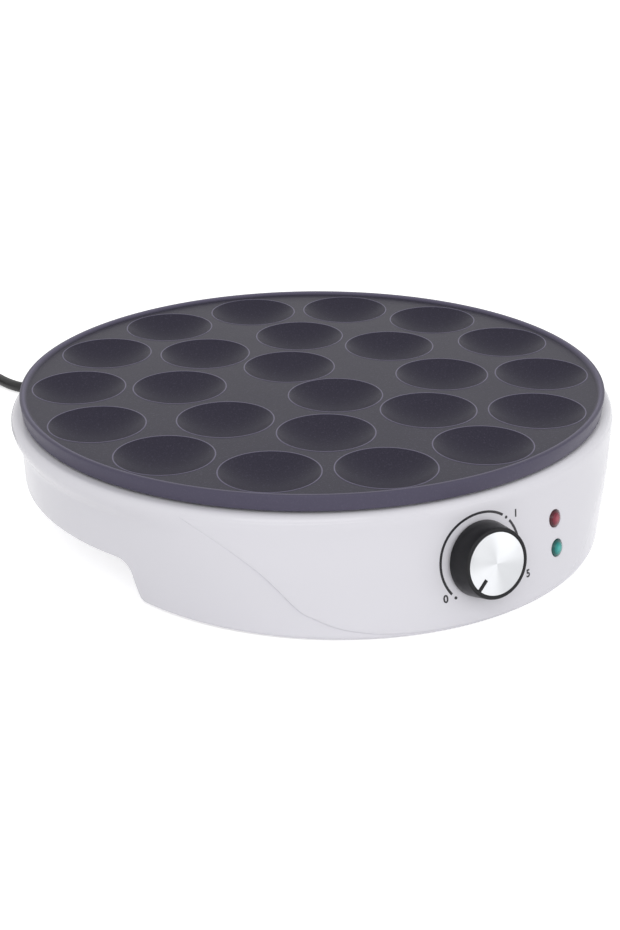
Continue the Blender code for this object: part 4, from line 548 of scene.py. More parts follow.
def smooth_line(corners, steps):
    """Points on a smooth line through the given corners."""
    points = [Vector(corner) for corner in corners]
    ends = [2 * points[0] - points[1]] + points + [2 * points[-1] - points[-2]]
    made = []
    for a, b, c, d in zip(ends, ends[1:], ends[2:], ends[3:]):
        for t in (step / steps for step in range(steps)):
            made.append(0.5 * (2 * b + (c - a) * t + (2 * a - 5 * b + 4 * c - d) * t * t
                               + (3 * b - a - 3 * c + d) * t ** 3))
    return made + [points[-1]]


def added(shape, part, *matrices):
    """Adds a copy of a part to a shape at each of the frames, and frees the part."""
    mesh = bpy.data.meshes.new("part")
    part.to_mesh(mesh)
    part.free()
    for matrix in matrices or (Matrix(),):
        copy = mesh.copy()
        copy.transform(matrix)
        shape.from_mesh(copy)
        bpy.data.meshes.remove(copy)
    bpy.data.meshes.remove(mesh)


def spun(shape, outline, steps, *matrices):
    """Turns an outline of (radius, height) round the Z axis of each of the frames."""
    part = bmesh.new()
    corners = [part.verts.new((radius, 0.0, height)) for radius, height in outline]
    edges = [part.edges.new(pair) for pair in zip(corners, corners[1:])]
    bmesh.ops.spin(part, geom=corners + edges, cent=(0, 0, 0), axis=(0, 0, 1), dvec=(0, 0, 0),
                   angle=2 * math.pi, steps=steps, use_merge=True, use_duplicate=False)
    added(shape, part, *matrices)
    return shape


def slab(shape, outline, low, high, matrix, bevel):
    """A flat outline with a thickness and a bevelled upper edge, in a frame."""
    part = bmesh.new()
    face = part.faces.new([part.verts.new((x, y, low)) for x, y in outline])
    lifted = set(new_verts(bmesh.ops.extrude_face_region(part, geom=[face])))
    bmesh.ops.translate(part, vec=(0, 0, high - low), verts=list(lifted))
    rim = [edge for edge in part.edges if lifted.issuperset(edge.verts)]
    bmesh.ops.bevel(part, geom=rim, offset=bevel, offset_type="OFFSET", segments=2, profile=0.5,
                    affect="EDGES", material=-1, clamp_overlap=True)
    added(shape, part, matrix)


# Cooking plate

OUTER_COUNT, OUTER_CIRCLE = 14, 0.120
MIDDLE_PLACES = ((0.0721, 23.9), (0.0684, 67.6))
INNER_CIRCLE = 0.0244
PLATE_STEPS, HOLLOW_STEPS = 224, 64
WEB, BACK_WALL = 0.003, 0.0026  # thickness between the hollows and under them
PLATE_FLOOR = 0.0568            # the lowest the backs of the hollows come
BAND_WIDTH, BAND_TAPER = 0.0045, 0.001
FACE_MARGIN, UNDER_MARGIN = 0.0008, 0.0010   # where the flat faces end, inside the plate's border
# The bead round a hollow: how far past the rim, and the share of its height there
BEAD_LINE = ((0.00055, 0.0), (0.00045, 0.0), (0.0003, 0.8), (0.0001, 1.0))
EDGE_STEPS, BOWL_STEPS, BACK_STEPS = 4, 14, 6
LUG_CIRCLE, LUG_AZIMUTHS = 0.1435, (51.4, 128.6, -51.4, -128.6)
LUG_RADIUS, LUG_BORE, LUG_DEPTH = 0.004, 0.0021, 0.0031
LUG_ROOT, LUG_BLIND = 0.001, 0.0004          # how far a lug and its bore go into the plate
BAND_PAINTED_REFLECTION, CREST_PAINTED_HIGHLIGHT = 0.4, 0.8             # how much lighter the coating is painted: a reflection on the plate's side, a highlight on the lip
PAINTED_LIGHT_MARGIN = 0.0005            # how far the painted highlight shows past a rim or a corner


def hollow_places():
    """The middles of the hollows: a ring of them, eight further in, and two at the centre."""
    places = [polar(OUTER_CIRCLE, 360 / OUTER_COUNT * (index + 0.5)) for index in range(OUTER_COUNT)]
    for radius, angle in MIDDLE_PLACES:
        places += [polar(radius, turn) for turn in (angle, -angle, 180 - angle, 180 + angle)]
    return places + [polar(INNER_CIRCLE, turn) for turn in (0, 180)]


def hollow_ball(plate):
    """The ball that shapes a hollow: its radius, how high its centre is, and the rim it leaves."""
    ball = (plate.hollow_radius ** 2 + plate.hollow_depth ** 2) / (2 * plate.hollow_depth)
    above = ball - plate.hollow_depth
    return ball, above, math.sqrt((ball + plate.hollow_edge) ** 2 - (above + plate.hollow_edge) ** 2)


def hollow_face(plate, surface):
    """A hollow's outline from the fine bead round it, over its rounded edge, to its middle."""
    ball, above, rim = hollow_ball(plate)
    edge, bead = plate.hollow_edge, plate.hollow_bead
    lean = math.asin(rim / (ball + edge))
    line = [(rim + past, surface + bead * share) for past, share in BEAD_LINE]
    for share in (step / EDGE_STEPS for step in range(EDGE_STEPS + 1)):
        line.append((rim - edge * math.sin(lean * share),
                     surface + bead * (1 - share) - edge * (1 - math.cos(lean * share))))
    for share in (1 - step / BOWL_STEPS for step in range(1, BOWL_STEPS + 1)):
        line.append((ball * math.sin(lean * share), surface + above - ball * math.cos(lean * share)))
    return line


def hollow_back(plate, surface):
    """The outline of a hollow under the plate, with a flat bottom."""
    ball, above = hollow_ball(plate)[:2]
    reach = ball + BACK_WALL
    lean = math.acos((above + WEB) / reach)
    turns = [lean * (1 - step / BACK_STEPS) for step in range(BACK_STEPS + 1)]
    return [(reach * math.sin(turn), max(PLATE_FLOOR, surface + above - reach * math.cos(turn)))
            for turn in turns]


def paint_highlights(shape, plate, surface):
    """Marks where light is painted on the coating: a painted highlight on the beads and on the lip's crest,
    and a painted reflection on the plate's side.
    """
    painted_light = shape.verts.layers.float.new("painted_light")
    places, rim = hollow_places(), hollow_ball(plate)[2]
    # painted highlight round each hollow and on the lip's crest, painted reflection on the side band
    for vert in shape.verts:
        if vert.co.z > surface + plate.hollow_bead / 2:
            nearest = min((vert.co.xy - spot.xy).length for spot in places)
            vert[painted_light] = float(nearest < rim + PAINTED_LIGHT_MARGIN)
        reach = vert.co.xy.length
        if reach > plate.radius - BAND_TAPER * 1.2:
            vert[painted_light] = BAND_PAINTED_REFLECTION
        elif plate.top - vert.co.z < PAINTED_LIGHT_MARGIN and reach < plate.radius - plate.lip_width + PAINTED_LIGHT_MARGIN:
            vert[painted_light] = CREST_PAINTED_HIGHLIGHT


def cooking_plate(plate):
    """The cast plate: its border is spun, and its two faces are filled round the hollows."""
    surface = plate.top - plate.lip
    under, bottom = surface - WEB, plate.top - plate.band
    crest = plate.radius - plate.lip_width
    foot, inside = crest - plate.lip, plate.radius - BAND_WIDTH
    flat_edge, under_edge = foot - FACE_MARGIN, inside - UNDER_MARGIN
    shape = bmesh.new()
    spun(shape, eased((
        (flat_edge, surface), (foot, surface, 0.0007), (crest, plate.top, 0.0008),
        (plate.radius, plate.top, 0.0009), (plate.radius - BAND_TAPER, bottom, 0.0004),
        (inside, bottom, 0.0004), (inside, under, 0.0006), (under_edge, under))), PLATE_STEPS)
    for line, height, border in ((hollow_face(plate, surface), surface, flat_edge),
                                 (hollow_back(plate, surface), under, under_edge)):
        edges = circle(shape, border, PLATE_STEPS, (0, 0, height))[1]
        for spot in hollow_places():
            edges += circle(shape, line[0][0], HOLLOW_STEPS, (*spot.xy, height))[1]
        bmesh.ops.triangle_fill(shape, use_beauty=True, edges=edges, normal=(0, 0, 1))
        spun(shape, line, HOLLOW_STEPS, *[Matrix.Translation(spot) for spot in hollow_places()])
    root, end, blind = under + LUG_ROOT, under - LUG_DEPTH, under + LUG_BLIND
    spun(shape, ((0, root), (LUG_RADIUS, root), (LUG_RADIUS, end), (LUG_BORE, end), (LUG_BORE, blind),
                 (0, blind)), 24, *round_about(LUG_CIRCLE, LUG_AZIMUTHS))
    paint_highlights(shape, plate, surface)
    finished("plate", shape, coating_finish("non_stick_coating", plate.coat),
             nodes=("cooking_plate",), angle=50.0)


# Housing and front panel

# The holes' places, and half of the square that is cut out of the sheet for each
HOLES = ((KNOB_PLACE, 0.0075),) + tuple((place, 0.0066) for place in LAMP_PLACES)
SPINDLE_HOLE, LENS_HOLE, PANEL_LENS_HOLE = 0.0042, 0.0055, 0.0043   # radii
PANEL_HOLE_EDGES = (0.0003, 0.0004)          # rounding of the spindle's and the lenses' holes in the panel
HOLE_RINGS = ((1.035, 0.3), (1.10, 0.0), (1.35, 0.0))   # growth of each ring round a hole, share of its depth
BOSS_CIRCLE, BOSS_AZIMUTHS = 0.1425, (76, -76, 121, -121)
BOSS_ROOT = 0.004
BOSS_LINE = ((0.0036, 0.0269), (0.0018, 0.0269), (0.0018, 0.0380), (0.0, 0.0380))
SEAT_RADIUS, SEAT_BACK = 0.0205, -0.0062     # the thermostat's seat behind the knob
PANEL_TIP = (54.5, 0.0600)
PANEL_THICKNESS = 0.0014
PANEL_TUCK = 0.0003             # how far the panel's border goes under the shell's face


def border_line(border, inset, closed):
    """The line beside a border, at a distance to its left."""
    line = []
    for index, here in enumerate(border):
        before = border[index - 1] if index or closed else None
        after = border[(index + 1) % len(border)] if index < len(border) - 1 or closed else None
        ways = [(b - a).normalized() for a, b in ((before, here), (here, after))
                if a is not None and b is not None]
        left = [Vector((-way.y, way.x)) for way in ways]
        middle = sum(left, Vector((0, 0))).normalized()
        line.append(here + middle / middle.dot(left[0]) * inset)
    return line


def sheet(border, insets, closed, lid=()):
    """A flat face with narrow strips along its border; a lid closes an open border."""
    shape = bmesh.new()
    row = [shape.verts.new((*spot, 0.0)) for spot in border_line(border, insets[0], closed)]
    edges = [shape.edges.new(pair) for pair in zip(row, row[1:] + row[:1] if closed else row[1:])]
    for inset in insets[1:]:
        made = bmesh.ops.extrude_edge_only(shape, edges=edges)
        new = set(new_verts(made))
        partner = {edge.other_vert(vert): vert for vert in new for edge in vert.link_edges
                   if edge.other_vert(vert) not in new}
        row, edges = [partner[vert] for vert in row], new_edges(made, new)
        for vert, spot in zip(row, border_line(border, inset, closed)):
            vert.co = (*spot, 0.0)
    shape.faces.new(row + [shape.verts.new((*spot, 0.0)) for spot in lid])
    return shape


def laid_out(border, insets, closed, lid=()):
    """A sheet cut along the form's columns and rows and beside its holes, with a layer for sunk depths."""
    shape = sheet(border, insets, closed, lid)
    sink = shape.verts.layers.float.new("sink")
    columns, rows = [], []
    for (azimuth, height), half in HOLES:
        columns += [unrolled(azimuth) - half, unrolled(azimuth) + half]
        rows += [height - half, height + half]
    columns += [unrolled(360 * (index / COLUMNS - 0.5)) for index in range(1, COLUMNS)]
    for axis, values in (((1, 0, 0), columns), ((0, 1, 0), rows + rows_of_form())):
        for value in values:
            bmesh.ops.bisect_plane(shape, geom=shape.verts[:] + shape.edges[:] + shape.faces[:],
                                   dist=SEAM, plane_co=Vector(axis) * value, plane_no=axis)
    return shape, sink


def punched(shape, sink, place, half, radius, depth):
    """A round hole with a rounded edge in the sheet, in place of a square of its faces."""
    x, run = unrolled(place[0]), place[1]

    def square(spot):
        return max(abs(spot.x - x), abs(spot.y - run))
    doomed = [face for face in shape.faces if square(face.calc_center_median()) < half]
    bmesh.ops.delete(shape, geom=doomed, context="FACES")
    around = [edge for edge in shape.edges if edge.is_boundary
              and all(abs(square(vert.co) - half) < SEAM for vert in edge.verts)]
    squeeze = ROLL / wall_radius(place[0], min(run, CURVE_TOP))
    ring, edges = circle(shape, radius, 40)
    for vert in ring:
        vert[sink] = depth
    rings = list(ring)
    for growth, share in HOLE_RINGS:
        made = bmesh.ops.extrude_edge_only(shape, edges=edges)
        ring = new_verts(made)
        edges = new_edges(made, ring)
        for vert in ring:
            vert.co = vert.co.normalized() * radius * growth
            vert[sink] = depth * share
        rings += ring
    for vert in rings:
        vert.co = (x + vert.co.x * squeeze, run + vert.co.y, 0.0)
    bmesh.ops.triangle_fill(shape, use_beauty=True, edges=edges + around, normal=(0, 0, 1))


def opened(shape, sink, lens_radius, spindle_edge=0.0, lens_edge=0.0):
    """Cuts the holes of the spindle and the lenses, each with the depth of its rounded edge."""
    sizes = ((SPINDLE_HOLE, spindle_edge), (lens_radius, lens_edge), (lens_radius, lens_edge))
    for (place, half), (radius, depth) in zip(HOLES, sizes):
        punched(shape, sink, place, half, radius, depth)


def border_distance(points, border, closed):
    """How far each point lies from a border."""
    line = np.array([tuple(spot) for spot in (border + border[:1] if closed else border)])
    a, way = line[:-1], line[1:] - line[:-1]
    share = np.clip(((points[:, None] - a) * way).sum(2) / (way ** 2).sum(1), 0, 1)
    return np.linalg.norm(points[:, None] - a - share[..., None] * way, axis=2).min(1)


def rounded_in(shape, sink, border, closed, radius):
    """Sinks the vertices near the border, so that its edge is a quarter round."""
    points = np.array([vert.co.xy for vert in shape.verts])
    for vert, distance in zip(shape.verts, border_distance(points, border, closed)):
        if distance < radius:
            vert[sink] = max(vert[sink], radius - math.sqrt(radius ** 2 - (radius - distance) ** 2))


def wrapped(shape, sink, depth, outside):
    """Gives the flat sheet its depth and lays it on the outer form. outside gives how far it stands out."""
    outer = set(new_verts(bmesh.ops.extrude_face_region(shape, geom=shape.faces[:])))
    seam = [face for face in shape.faces
            if all(abs(abs(vert.co.x) - unrolled(180)) < SEAM for vert in face.verts)]
    bmesh.ops.delete(shape, geom=seam, context="FACES")
    for vert in shape.verts:
        azimuth, run = math.degrees(vert.co.x / ROLL), vert.co.y
        lift = outside(run) - vert[sink] if vert in outer else -depth
        vert.co = skin(azimuth, run) + skin_normal(azimuth, run) * lift


def rows_of_form():
    """Heights of the rows of faces: even on the wall, close together round the lip and the shoulder."""
    rows = [0.004 + 0.003 * step for step in range(15)] + [0.0479, LIP_UNDER]
    rows += [CURVE_TOP - (CURVE_TOP - LIP_UNDER) * math.cos(math.radians(turn))
             for turn in (9, 18, 30, 42, 55, 70, 90)]
    rows += [CURVE_TOP + SHOULDER * math.radians(turn) for turn in (15, 30, 45, 60, 75, 90)]
    return rows + [SHEET_TOP - SHELF_REACH / 2]


def quarter(radius, steps):
    """Insets of the steps of a quarter round."""
    return [radius * (1 - math.cos(math.radians(90 * step / steps))) for step in range(steps + 1)]


def lower_border(settings):
    """The lower edge of the shell, unrolled: down and up the legs from the back, round the front."""
    line = [(-180.0, ARCH_TOP)]
    for low, high in sorted(((low + 180) % 360 - 180, (high + 180) % 360 - 180) for low, high in LEG_SPANS):
        line += [(low, ARCH_TOP, settings.arch_corner), (low, FOOT_EDGE, settings.foot_corner),
                 (high, FOOT_EDGE, settings.foot_corner), (high, ARCH_TOP, settings.arch_corner)]
    line.append((180.0, ARCH_TOP))
    return eased([(unrolled(corner[0]), *corner[1:]) for corner in line], 8)


def housing(settings):
    """The moulded shell, laid out flat, cut with its arches and holes, and wrapped round."""
    border = lower_border(settings)
    lid = ((unrolled(180), SHEET_TOP), (unrolled(-180), SHEET_TOP))
    shape, sink = laid_out(border, quarter(settings.edge, 4), False, lid)
    rounded_in(shape, sink, border, False, settings.edge)
    opened(shape, sink, LENS_HOLE)
    wrapped(shape, sink, settings.wall, lambda run: 0.0)
    inner = SHELF_TOP - settings.wall / 2
    spun(shape, ((0, inner), (BOSS_ROOT, inner), *BOSS_LINE), 24,
         *round_about(BOSS_CIRCLE, BOSS_AZIMUTHS))
    face = -settings.wall
    spun(shape, ((SPINDLE_HOLE, face), (SEAT_RADIUS, face), (SEAT_RADIUS, SEAT_BACK),
                 (SPINDLE_HOLE, SEAT_BACK), (SPINDLE_HOLE, face)), 48, panel_frame(*KNOB_PLACE))
    finished("housing_shell", shape, shell_finish("white_shell", settings.shell),
             nodes=("housing",), angle=30.0)


def front_panel(settings):
    """The U-shaped panel that carries the knob and the lamps."""
    half = [Vector((unrolled(azimuth), height))
            for azimuth, height in [PANEL_TIP] + smooth_line(PANEL_LINE, 5)]
    border = [Vector((-spot.x, spot.y)) for spot in half] + list(reversed(half[:-1]))
    shape, sink = laid_out(border, quarter(settings.panel_edge, 3), True)
    rounded_in(shape, sink, border, True, settings.panel_edge)
    for vert in shape.verts:
        if vert[sink] > settings.panel_edge - SEAM:
            vert[sink] = settings.panel_proud + PANEL_TUCK
    opened(shape, sink, PANEL_LENS_HOLE, *PANEL_HOLE_EDGES)
    wrapped(shape, sink, PANEL_THICKNESS, lambda run: panel_proud(run, settings.panel_proud))
    finished("front_panel", shape, shell_finish("white_panel", settings.shell), angle=40.0)


# Dial: turns are in degrees round the knob, from its right

DIAL_MIDDLE = (0.0006, -0.0005)              # where the print's centre lies beside the knob's
DIAL_ARCS, ARC_STEP = ((218, 54), (40, -40)), 2.5
DIAL_DOTS, DOT_SHARE = (225, 47), 0.62       # radius of a dot, as a share of an arc's width
DIAL_DIGITS = (("0", 216.5, 0.0257), ("1", 38, 0.0266), ("5", -29, 0.0306))
DIGIT_SIZE, DIGIT_BOLD = 1.37, 0.00016       # size of the lettering over a digit's height
INK_OUT, INK_IN = 0.00008, -0.0002


def on_panel(spot, lift):
    """Lays a point of the knob's frame on the panel's face."""
    world = panel_frame(*KNOB_PLACE) @ Vector((spot[0] + DIAL_MIDDLE[0], spot[1] + DIAL_MIDDLE[1], 0.0))
    return panel_point(math.degrees(math.atan2(world.x, -world.y)), world.z, lift)


def dial(control, ink):
    """Printed arcs, dots and plain numbers round the knob, a hair thick."""
    shape = bmesh.new()
    radius, width = control.dial_radius, control.dial_width
    for first, last in DIAL_ARCS:
        part = bmesh.new()
        bmesh.ops.create_grid(part, x_segments=round(abs(first - last) / ARC_STEP), y_segments=1, size=0.5)
        for vert in part.verts:
            turn = math.radians(first + (last - first) * (vert.co.x + 0.5))
            reach = radius + width * vert.co.y
            vert.co = (reach * math.cos(turn), reach * math.sin(turn), 0.0)
        added(shape, part)
    for turn in DIAL_DOTS:
        part = bmesh.new()
        bmesh.ops.create_circle(part, cap_ends=True, radius=width * DOT_SHARE, segments=20)
        added(shape, part, turned(turn, "Z") @ moved(radius))
    for digit, turn, reach in DIAL_DIGITS:
        words = bpy.data.curves.new("digit", "FONT")
        words.body, words.size = digit, control.digit_height * DIGIT_SIZE
        words.align_x, words.align_y = "CENTER", "CENTER"
        words.resolution_u, words.offset = 6, DIGIT_BOLD
        lettering = bpy.data.objects.new("digit", words)
        mesh = bpy.data.meshes.new_from_object(lettering)
        angle = math.radians(turn)
        mesh.transform(moved(reach * math.cos(angle), reach * math.sin(angle)))
        shape.from_mesh(mesh)
        bpy.data.objects.remove(lettering)
        bpy.data.meshes.remove(mesh)
    bmesh.ops.remove_doubles(shape, verts=shape.verts, dist=SEAM)
    bmesh.ops.recalc_face_normals(shape, faces=shape.faces)
    raised = set(new_verts(bmesh.ops.extrude_face_region(shape, geom=shape.faces[:])))
    for vert in shape.verts:
        vert.co = on_panel(vert.co, INK_OUT if vert in raised else INK_IN)
    finished("dial_print", shape, ink)


# Knob and lamps, in frames on the panel's face

KNOB_STANDOFF, KNOB_WALL = 0.00088, 0.0018
HUB_RADIUS, HUB_BORE = 0.0052, 0.0033
DISC_RECESS, DISC_THICKNESS, DISC_GAP = 0.0010, 0.0009, 0.0002
DISC_BEVEL, DISC_SEAT = 0.00015, 0.0001
POINTER_TURN, POINTER_WIDTH, POINTER_LENGTH = 225, 0.0014, 0.0056
POINTER_OVERLAP, POINTER_PROUD = 0.0006, 0.0001
NOTCH_SIDE, NOTCH_END = 0.00025, 0.0003      # clearance of the disc's notch beside and behind the pointer
SUNK = 0.0003                   # how deep one form goes into another that it joins
LENS_RADIUS, LENS_DOME = 0.0040, 0.0013
LENS_RING = ((0.88, 0.18), (0.95, 0.20), (1.0, 0.10))   # shares of the lens's radius and of its dome's height
LENS_FLANGE, FLANGE_THICKNESS, LENS_SEAT = 0.0052, 0.0010, 0.0031


def knob(control):
    """The black grip with its pointer rib, and the bright disc with a notch for the rib."""
    matrix = panel_frame(*KNOB_PLACE)
    back, front = KNOB_STANDOFF, KNOB_STANDOFF + control.knob_depth
    foot, face, disc = control.knob_radius, control.knob_front, control.disc_radius
    recess, floor = disc + DISC_GAP, front - DISC_RECESS
    hollow = floor - KNOB_WALL
    shape = bmesh.new()
    spun(shape, eased((
        (0, floor), (recess, floor), (recess, front, 0.0003), (face, front, 0.0006), (foot, back, 0.0005),
        (foot - KNOB_WALL, back, 0.0003), (face - KNOB_WALL, hollow, 0.0008), (HUB_RADIUS, hollow),
        (HUB_RADIUS, back), (HUB_BORE, back), (HUB_BORE, hollow - SUNK), (0, hollow - SUNK)), 4), 128, matrix)
    turn = matrix @ turned(POINTER_TURN, "Z")
    low, high, half = disc - POINTER_LENGTH, disc + POINTER_OVERLAP, POINTER_WIDTH / 2
    rib = eased(((low, -half, half * 0.9), (high, -half), (high, half), (low, half, half * 0.9)), 4, True)
    slab(shape, rib, floor - SUNK, front + POINTER_PROUD, turn, DISC_BEVEL)
    finished("knob_grip", shape, moulded_finish("knob_black", control.plastic, 0.34, 0.05, 0.25),
             "knob", ("knob",), 40.0)

    gap, end = half + NOTCH_SIDE, low - NOTCH_END
    rim = math.asin(gap / disc)
    outline = [Vector((disc * math.cos(angle), disc * math.sin(angle)))
               for angle in np.linspace(rim, 2 * math.pi - rim, 120)]
    outline += [Vector((end, -gap)), Vector((end, gap))]
    shape = bmesh.new()
    seat = floor + DISC_SEAT
    slab(shape, outline, seat, seat + DISC_THICKNESS, turn, DISC_BEVEL)
    finished("knob_disc", shape, spun_finish("spun_disc", (0.66, 0.67, 0.69), matrix),
             "knob", ("knob_cap",), 25.0)


def lamps(control):
    """The two lenses: a low dome in a ring, and a flange behind the wall."""
    dome = [(LENS_RADIUS * 0.84 * math.sin(math.radians(turn)),
             LENS_DOME * (0.25 + 0.75 * math.cos(math.radians(turn)))) for turn in range(0, 91, 10)]
    ring = [(LENS_RADIUS * across, LENS_DOME * rise) for across, rise in LENS_RING]
    end = -LENS_SEAT - FLANGE_THICKNESS
    flange = [(LENS_RADIUS, -LENS_SEAT), (LENS_FLANGE, -LENS_SEAT), (LENS_FLANGE, end), (0, end)]
    for name, slot, place, shade in (("power", "red_lens", LAMP_PLACES[0], control.power),
                                     ("ready", "green_lens", LAMP_PLACES[1], control.ready)):
        matrix = panel_frame(*place)
        shape = bmesh.new()
        spun(shape, dome + ring + flange, 48, matrix)
        finished(f"{name}_lamp", shape, lens_finish(f"{name}_lens", shade, matrix, LENS_RADIUS),
                 nodes=(f"{name}_lens",), angle=60.0)


# Mains cord, strain relief, tie and plug

CORD_ROUTE = (
    (0.0, 0.1708, 0.0345), (0.0, 0.1768, 0.0345), (-0.0004, 0.1860, 0.0338),
    (-0.0024, 0.1955, 0.0310), (-0.0068, 0.2046, 0.0255), (-0.0140, 0.2122, 0.0181),
    (-0.0238, 0.2172, 0.0109), (-0.0350, 0.2195, 0.0058), (-0.0470, 0.2203, 0.0037),
    (-0.0590, 0.2218, 0.0034), (-0.0695, 0.2270, 0.0034), (-0.0770, 0.2350, 0.0034),
    (-0.0812, 0.2450, 0.0034), (-0.0834, 0.2560, 0.0034), (-0.0850, 0.2680, 0.0035),
    (-0.0862, 0.2790, 0.0038), (-0.0865, 0.2865, 0.0040), (-0.0865, 0.2932, 0.0040))
TAIL_ROUTE = (
    (-0.1675, 0.2935, 0.0111), (-0.1676, 0.2850, 0.0120), (-0.1680, 0.2740, 0.0143),
    (-0.1687, 0.2630, 0.0170), (-0.1695, 0.2520, 0.0186), (-0.1700, 0.2420, 0.0190))
COIL_CENTRE, COIL_HEIGHT = (-0.1270, 0.3000), 0.0040
COIL_OUTER, COIL_PITCH, COIL_TURNS = 0.0405, 0.0070, 3.5
COIL_POINTS = 32                # on each turn
TIE_TURN = 90
TIE_WALL, TIE_WIDTH, TIE_GAP = 0.0004, 0.005, 0.0003
RELIEF_LENGTH, RELIEF_FLANGE, RELIEF_FACE = 0.0203, 0.0075, 0.00245
RELIEF_ROOT, RELIEF_END, RELIEF_NECK = 0.0060, 0.0044, 0.0056
RELIEF_INSIDE, RELIEF_NUT, RELIEF_OUTSIDE = -0.0054, -0.0034, 0.00045   # faces inside and outside the wall
# How many grooves, how deep they are, and the rounding of their corners
RELIEF_GROOVES, TAIL_GROOVES, WAIST_GROOVES = (5, 0.0007, 0.00015), (4, 0.0006, 0.00015), (4, 0.0007, 0.0002)
PLUG_TAIL, PLUG_WAIST, PLUG_DISC = 0.016, 0.018, 0.013   # lengths
PLUG_END, PLUG_NECK, PLUG_MIDDLE = 0.0042, 0.0050, 0.0115   # radii
PLUG_BACK = 0.0003              # how far the plug starts past the cord's last point
PIN_RADIUS, PIN_LENGTH, PIN_ASIDE, PIN_GAP = 0.0024, 0.019, 0.0095, 0.0003


def coil_point(turn):
    """The coil spirals in on its lower layer and out again on the upper one."""
    radius = COIL_OUTER - COIL_PITCH * min(turn, COIL_TURNS - turn)
    rise = COIL_PITCH * ease(turn, COIL_TURNS / 2 - 1 / 4, COIL_TURNS / 2 + 1 / 4)
    angle = 2 * math.pi * turn
    return Vector((COIL_CENTRE[0] + radius * math.cos(angle), COIL_CENTRE[1] + radius * math.sin(angle),
                   COIL_HEIGHT + rise))


def mains_cord(settings, rubber):
    """The cord from the wall over its coil to the plug, and the points that it runs through."""
    coil = [coil_point(index / COIL_POINTS) for index in range(1, round(COIL_TURNS * COIL_POINTS))]
    path = smooth_line(CORD_ROUTE, 2) + coil + smooth_line(TAIL_ROUTE, 2)
    curve = bpy.data.curves.new("cord", "CURVE")
    curve.dimensions, curve.use_fill_caps = "3D", True
    curve.bevel_depth, curve.bevel_resolution, curve.resolution_u = settings.diameter / 2, 5, 4
    spline = curve.splines.new("BEZIER")
    spline.bezier_points.add(len(path) - 1)
    for point, spot in zip(spline.bezier_points, path):
        point.co = spot
        point.handle_left_type = point.handle_right_type = "AUTO"
    curve.materials.append(rubber)
    return dressed(placed("cord", curve), nodes=("mains_cord", "cord_coil")), path


def grooved(reach, first, pitch, shares, count, sunk, rounding):
    """Corners of grooves in a body whose radius reach gives; shares of the pitch place each one's corners."""
    line = []
    for index in range(count):
        for share, low in zip(shares, (0, sunk, sunk, 0)):
            along = first + pitch * (index + share)
            line.append((reach(along) - low, along, rounding))
    return line


def strain_relief(rubber):
    """The gland in the wall: a flange and a tapered sleeve with grooves."""
    slope = (RELIEF_END - RELIEF_ROOT) / (RELIEF_LENGTH - RELIEF_FACE)
    first, last = RELIEF_FACE + 0.0018, RELIEF_LENGTH - 0.0022
    outline = [(RELIEF_FLANGE, RELIEF_OUTSIDE), (RELIEF_FLANGE, RELIEF_FACE, 0.0006),
               (RELIEF_ROOT + 0.0004, RELIEF_FACE, 0.0006)]
    outline += grooved(lambda along: RELIEF_ROOT + slope * (along - RELIEF_FACE), first,
                       (last - first) / (RELIEF_GROOVES[0] - 0.4), (0, 0.12, 0.42, 0.54), *RELIEF_GROOVES)
    outline += [(RELIEF_END, RELIEF_LENGTH, 0.0008), (0, RELIEF_LENGTH)]
    inner = [(0, RELIEF_INSIDE), (RELIEF_FLANGE, RELIEF_INSIDE), (RELIEF_FLANGE, RELIEF_NUT),
             (RELIEF_NECK, RELIEF_NUT), (RELIEF_NECK, RELIEF_OUTSIDE)]
    shape = bmesh.new()
    spun(shape, inner + eased(outline, 3), 64,
         moved(0, wall_radius(180, CORD_HEIGHT), CORD_HEIGHT) @ turned(-90, "X"))
    return finished("cord_gland", shape, rubber, nodes=("strain_relief",), angle=40.0)


def coil_tie(rubber, settings):
    """A flat band round the strands at one side of the coil."""
    share = TIE_TURN / 360
    strands = [coil_point(turn + share) for turn in range(int(COIL_TURNS - share) + 1)]
    radii = [(strand.xy - Vector(COIL_CENTRE)).length for strand in strands]
    low, high = min(strand.z for strand in strands), max(strand.z for strand in strands)
    radius = settings.diameter / 2
    wide = (max(radii) - min(radii)) / 2 + radius + 2 * TIE_GAP
    tall = (high - low) / 2 + radius + TIE_GAP
    matrix = (moved(*COIL_CENTRE, (low + high) / 2) @ turned(TIE_TURN, "Z")
              @ moved((max(radii) + min(radii)) / 2) @ turned(90, "X"))
    shape = bmesh.new()
    rows = []
    for grow in (TIE_WALL, 0.0):
        corner = radius + grow
        outline = eased([(x * (wide + grow), y * (tall + grow), corner)
                         for x, y in ((1, 1), (-1, 1), (-1, -1), (1, -1))], 8, True)
        for height in ((-TIE_WIDTH / 2, TIE_WIDTH / 2) if grow else (TIE_WIDTH / 2, -TIE_WIDTH / 2)):
            verts = [shape.verts.new((spot.x, spot.y, height)) for spot in outline]
            rows.append([shape.edges.new(pair) for pair in zip(verts, verts[1:] + verts[:1])])
    for one, other in zip(rows, rows[1:] + rows[:1]):
        bmesh.ops.bridge_loops(shape, edges=one + other)
    bmesh.ops.transform(shape, matrix=matrix, verts=shape.verts)
    return finished("tie_band", shape, rubber, nodes=("coil_tie",), angle=40.0)


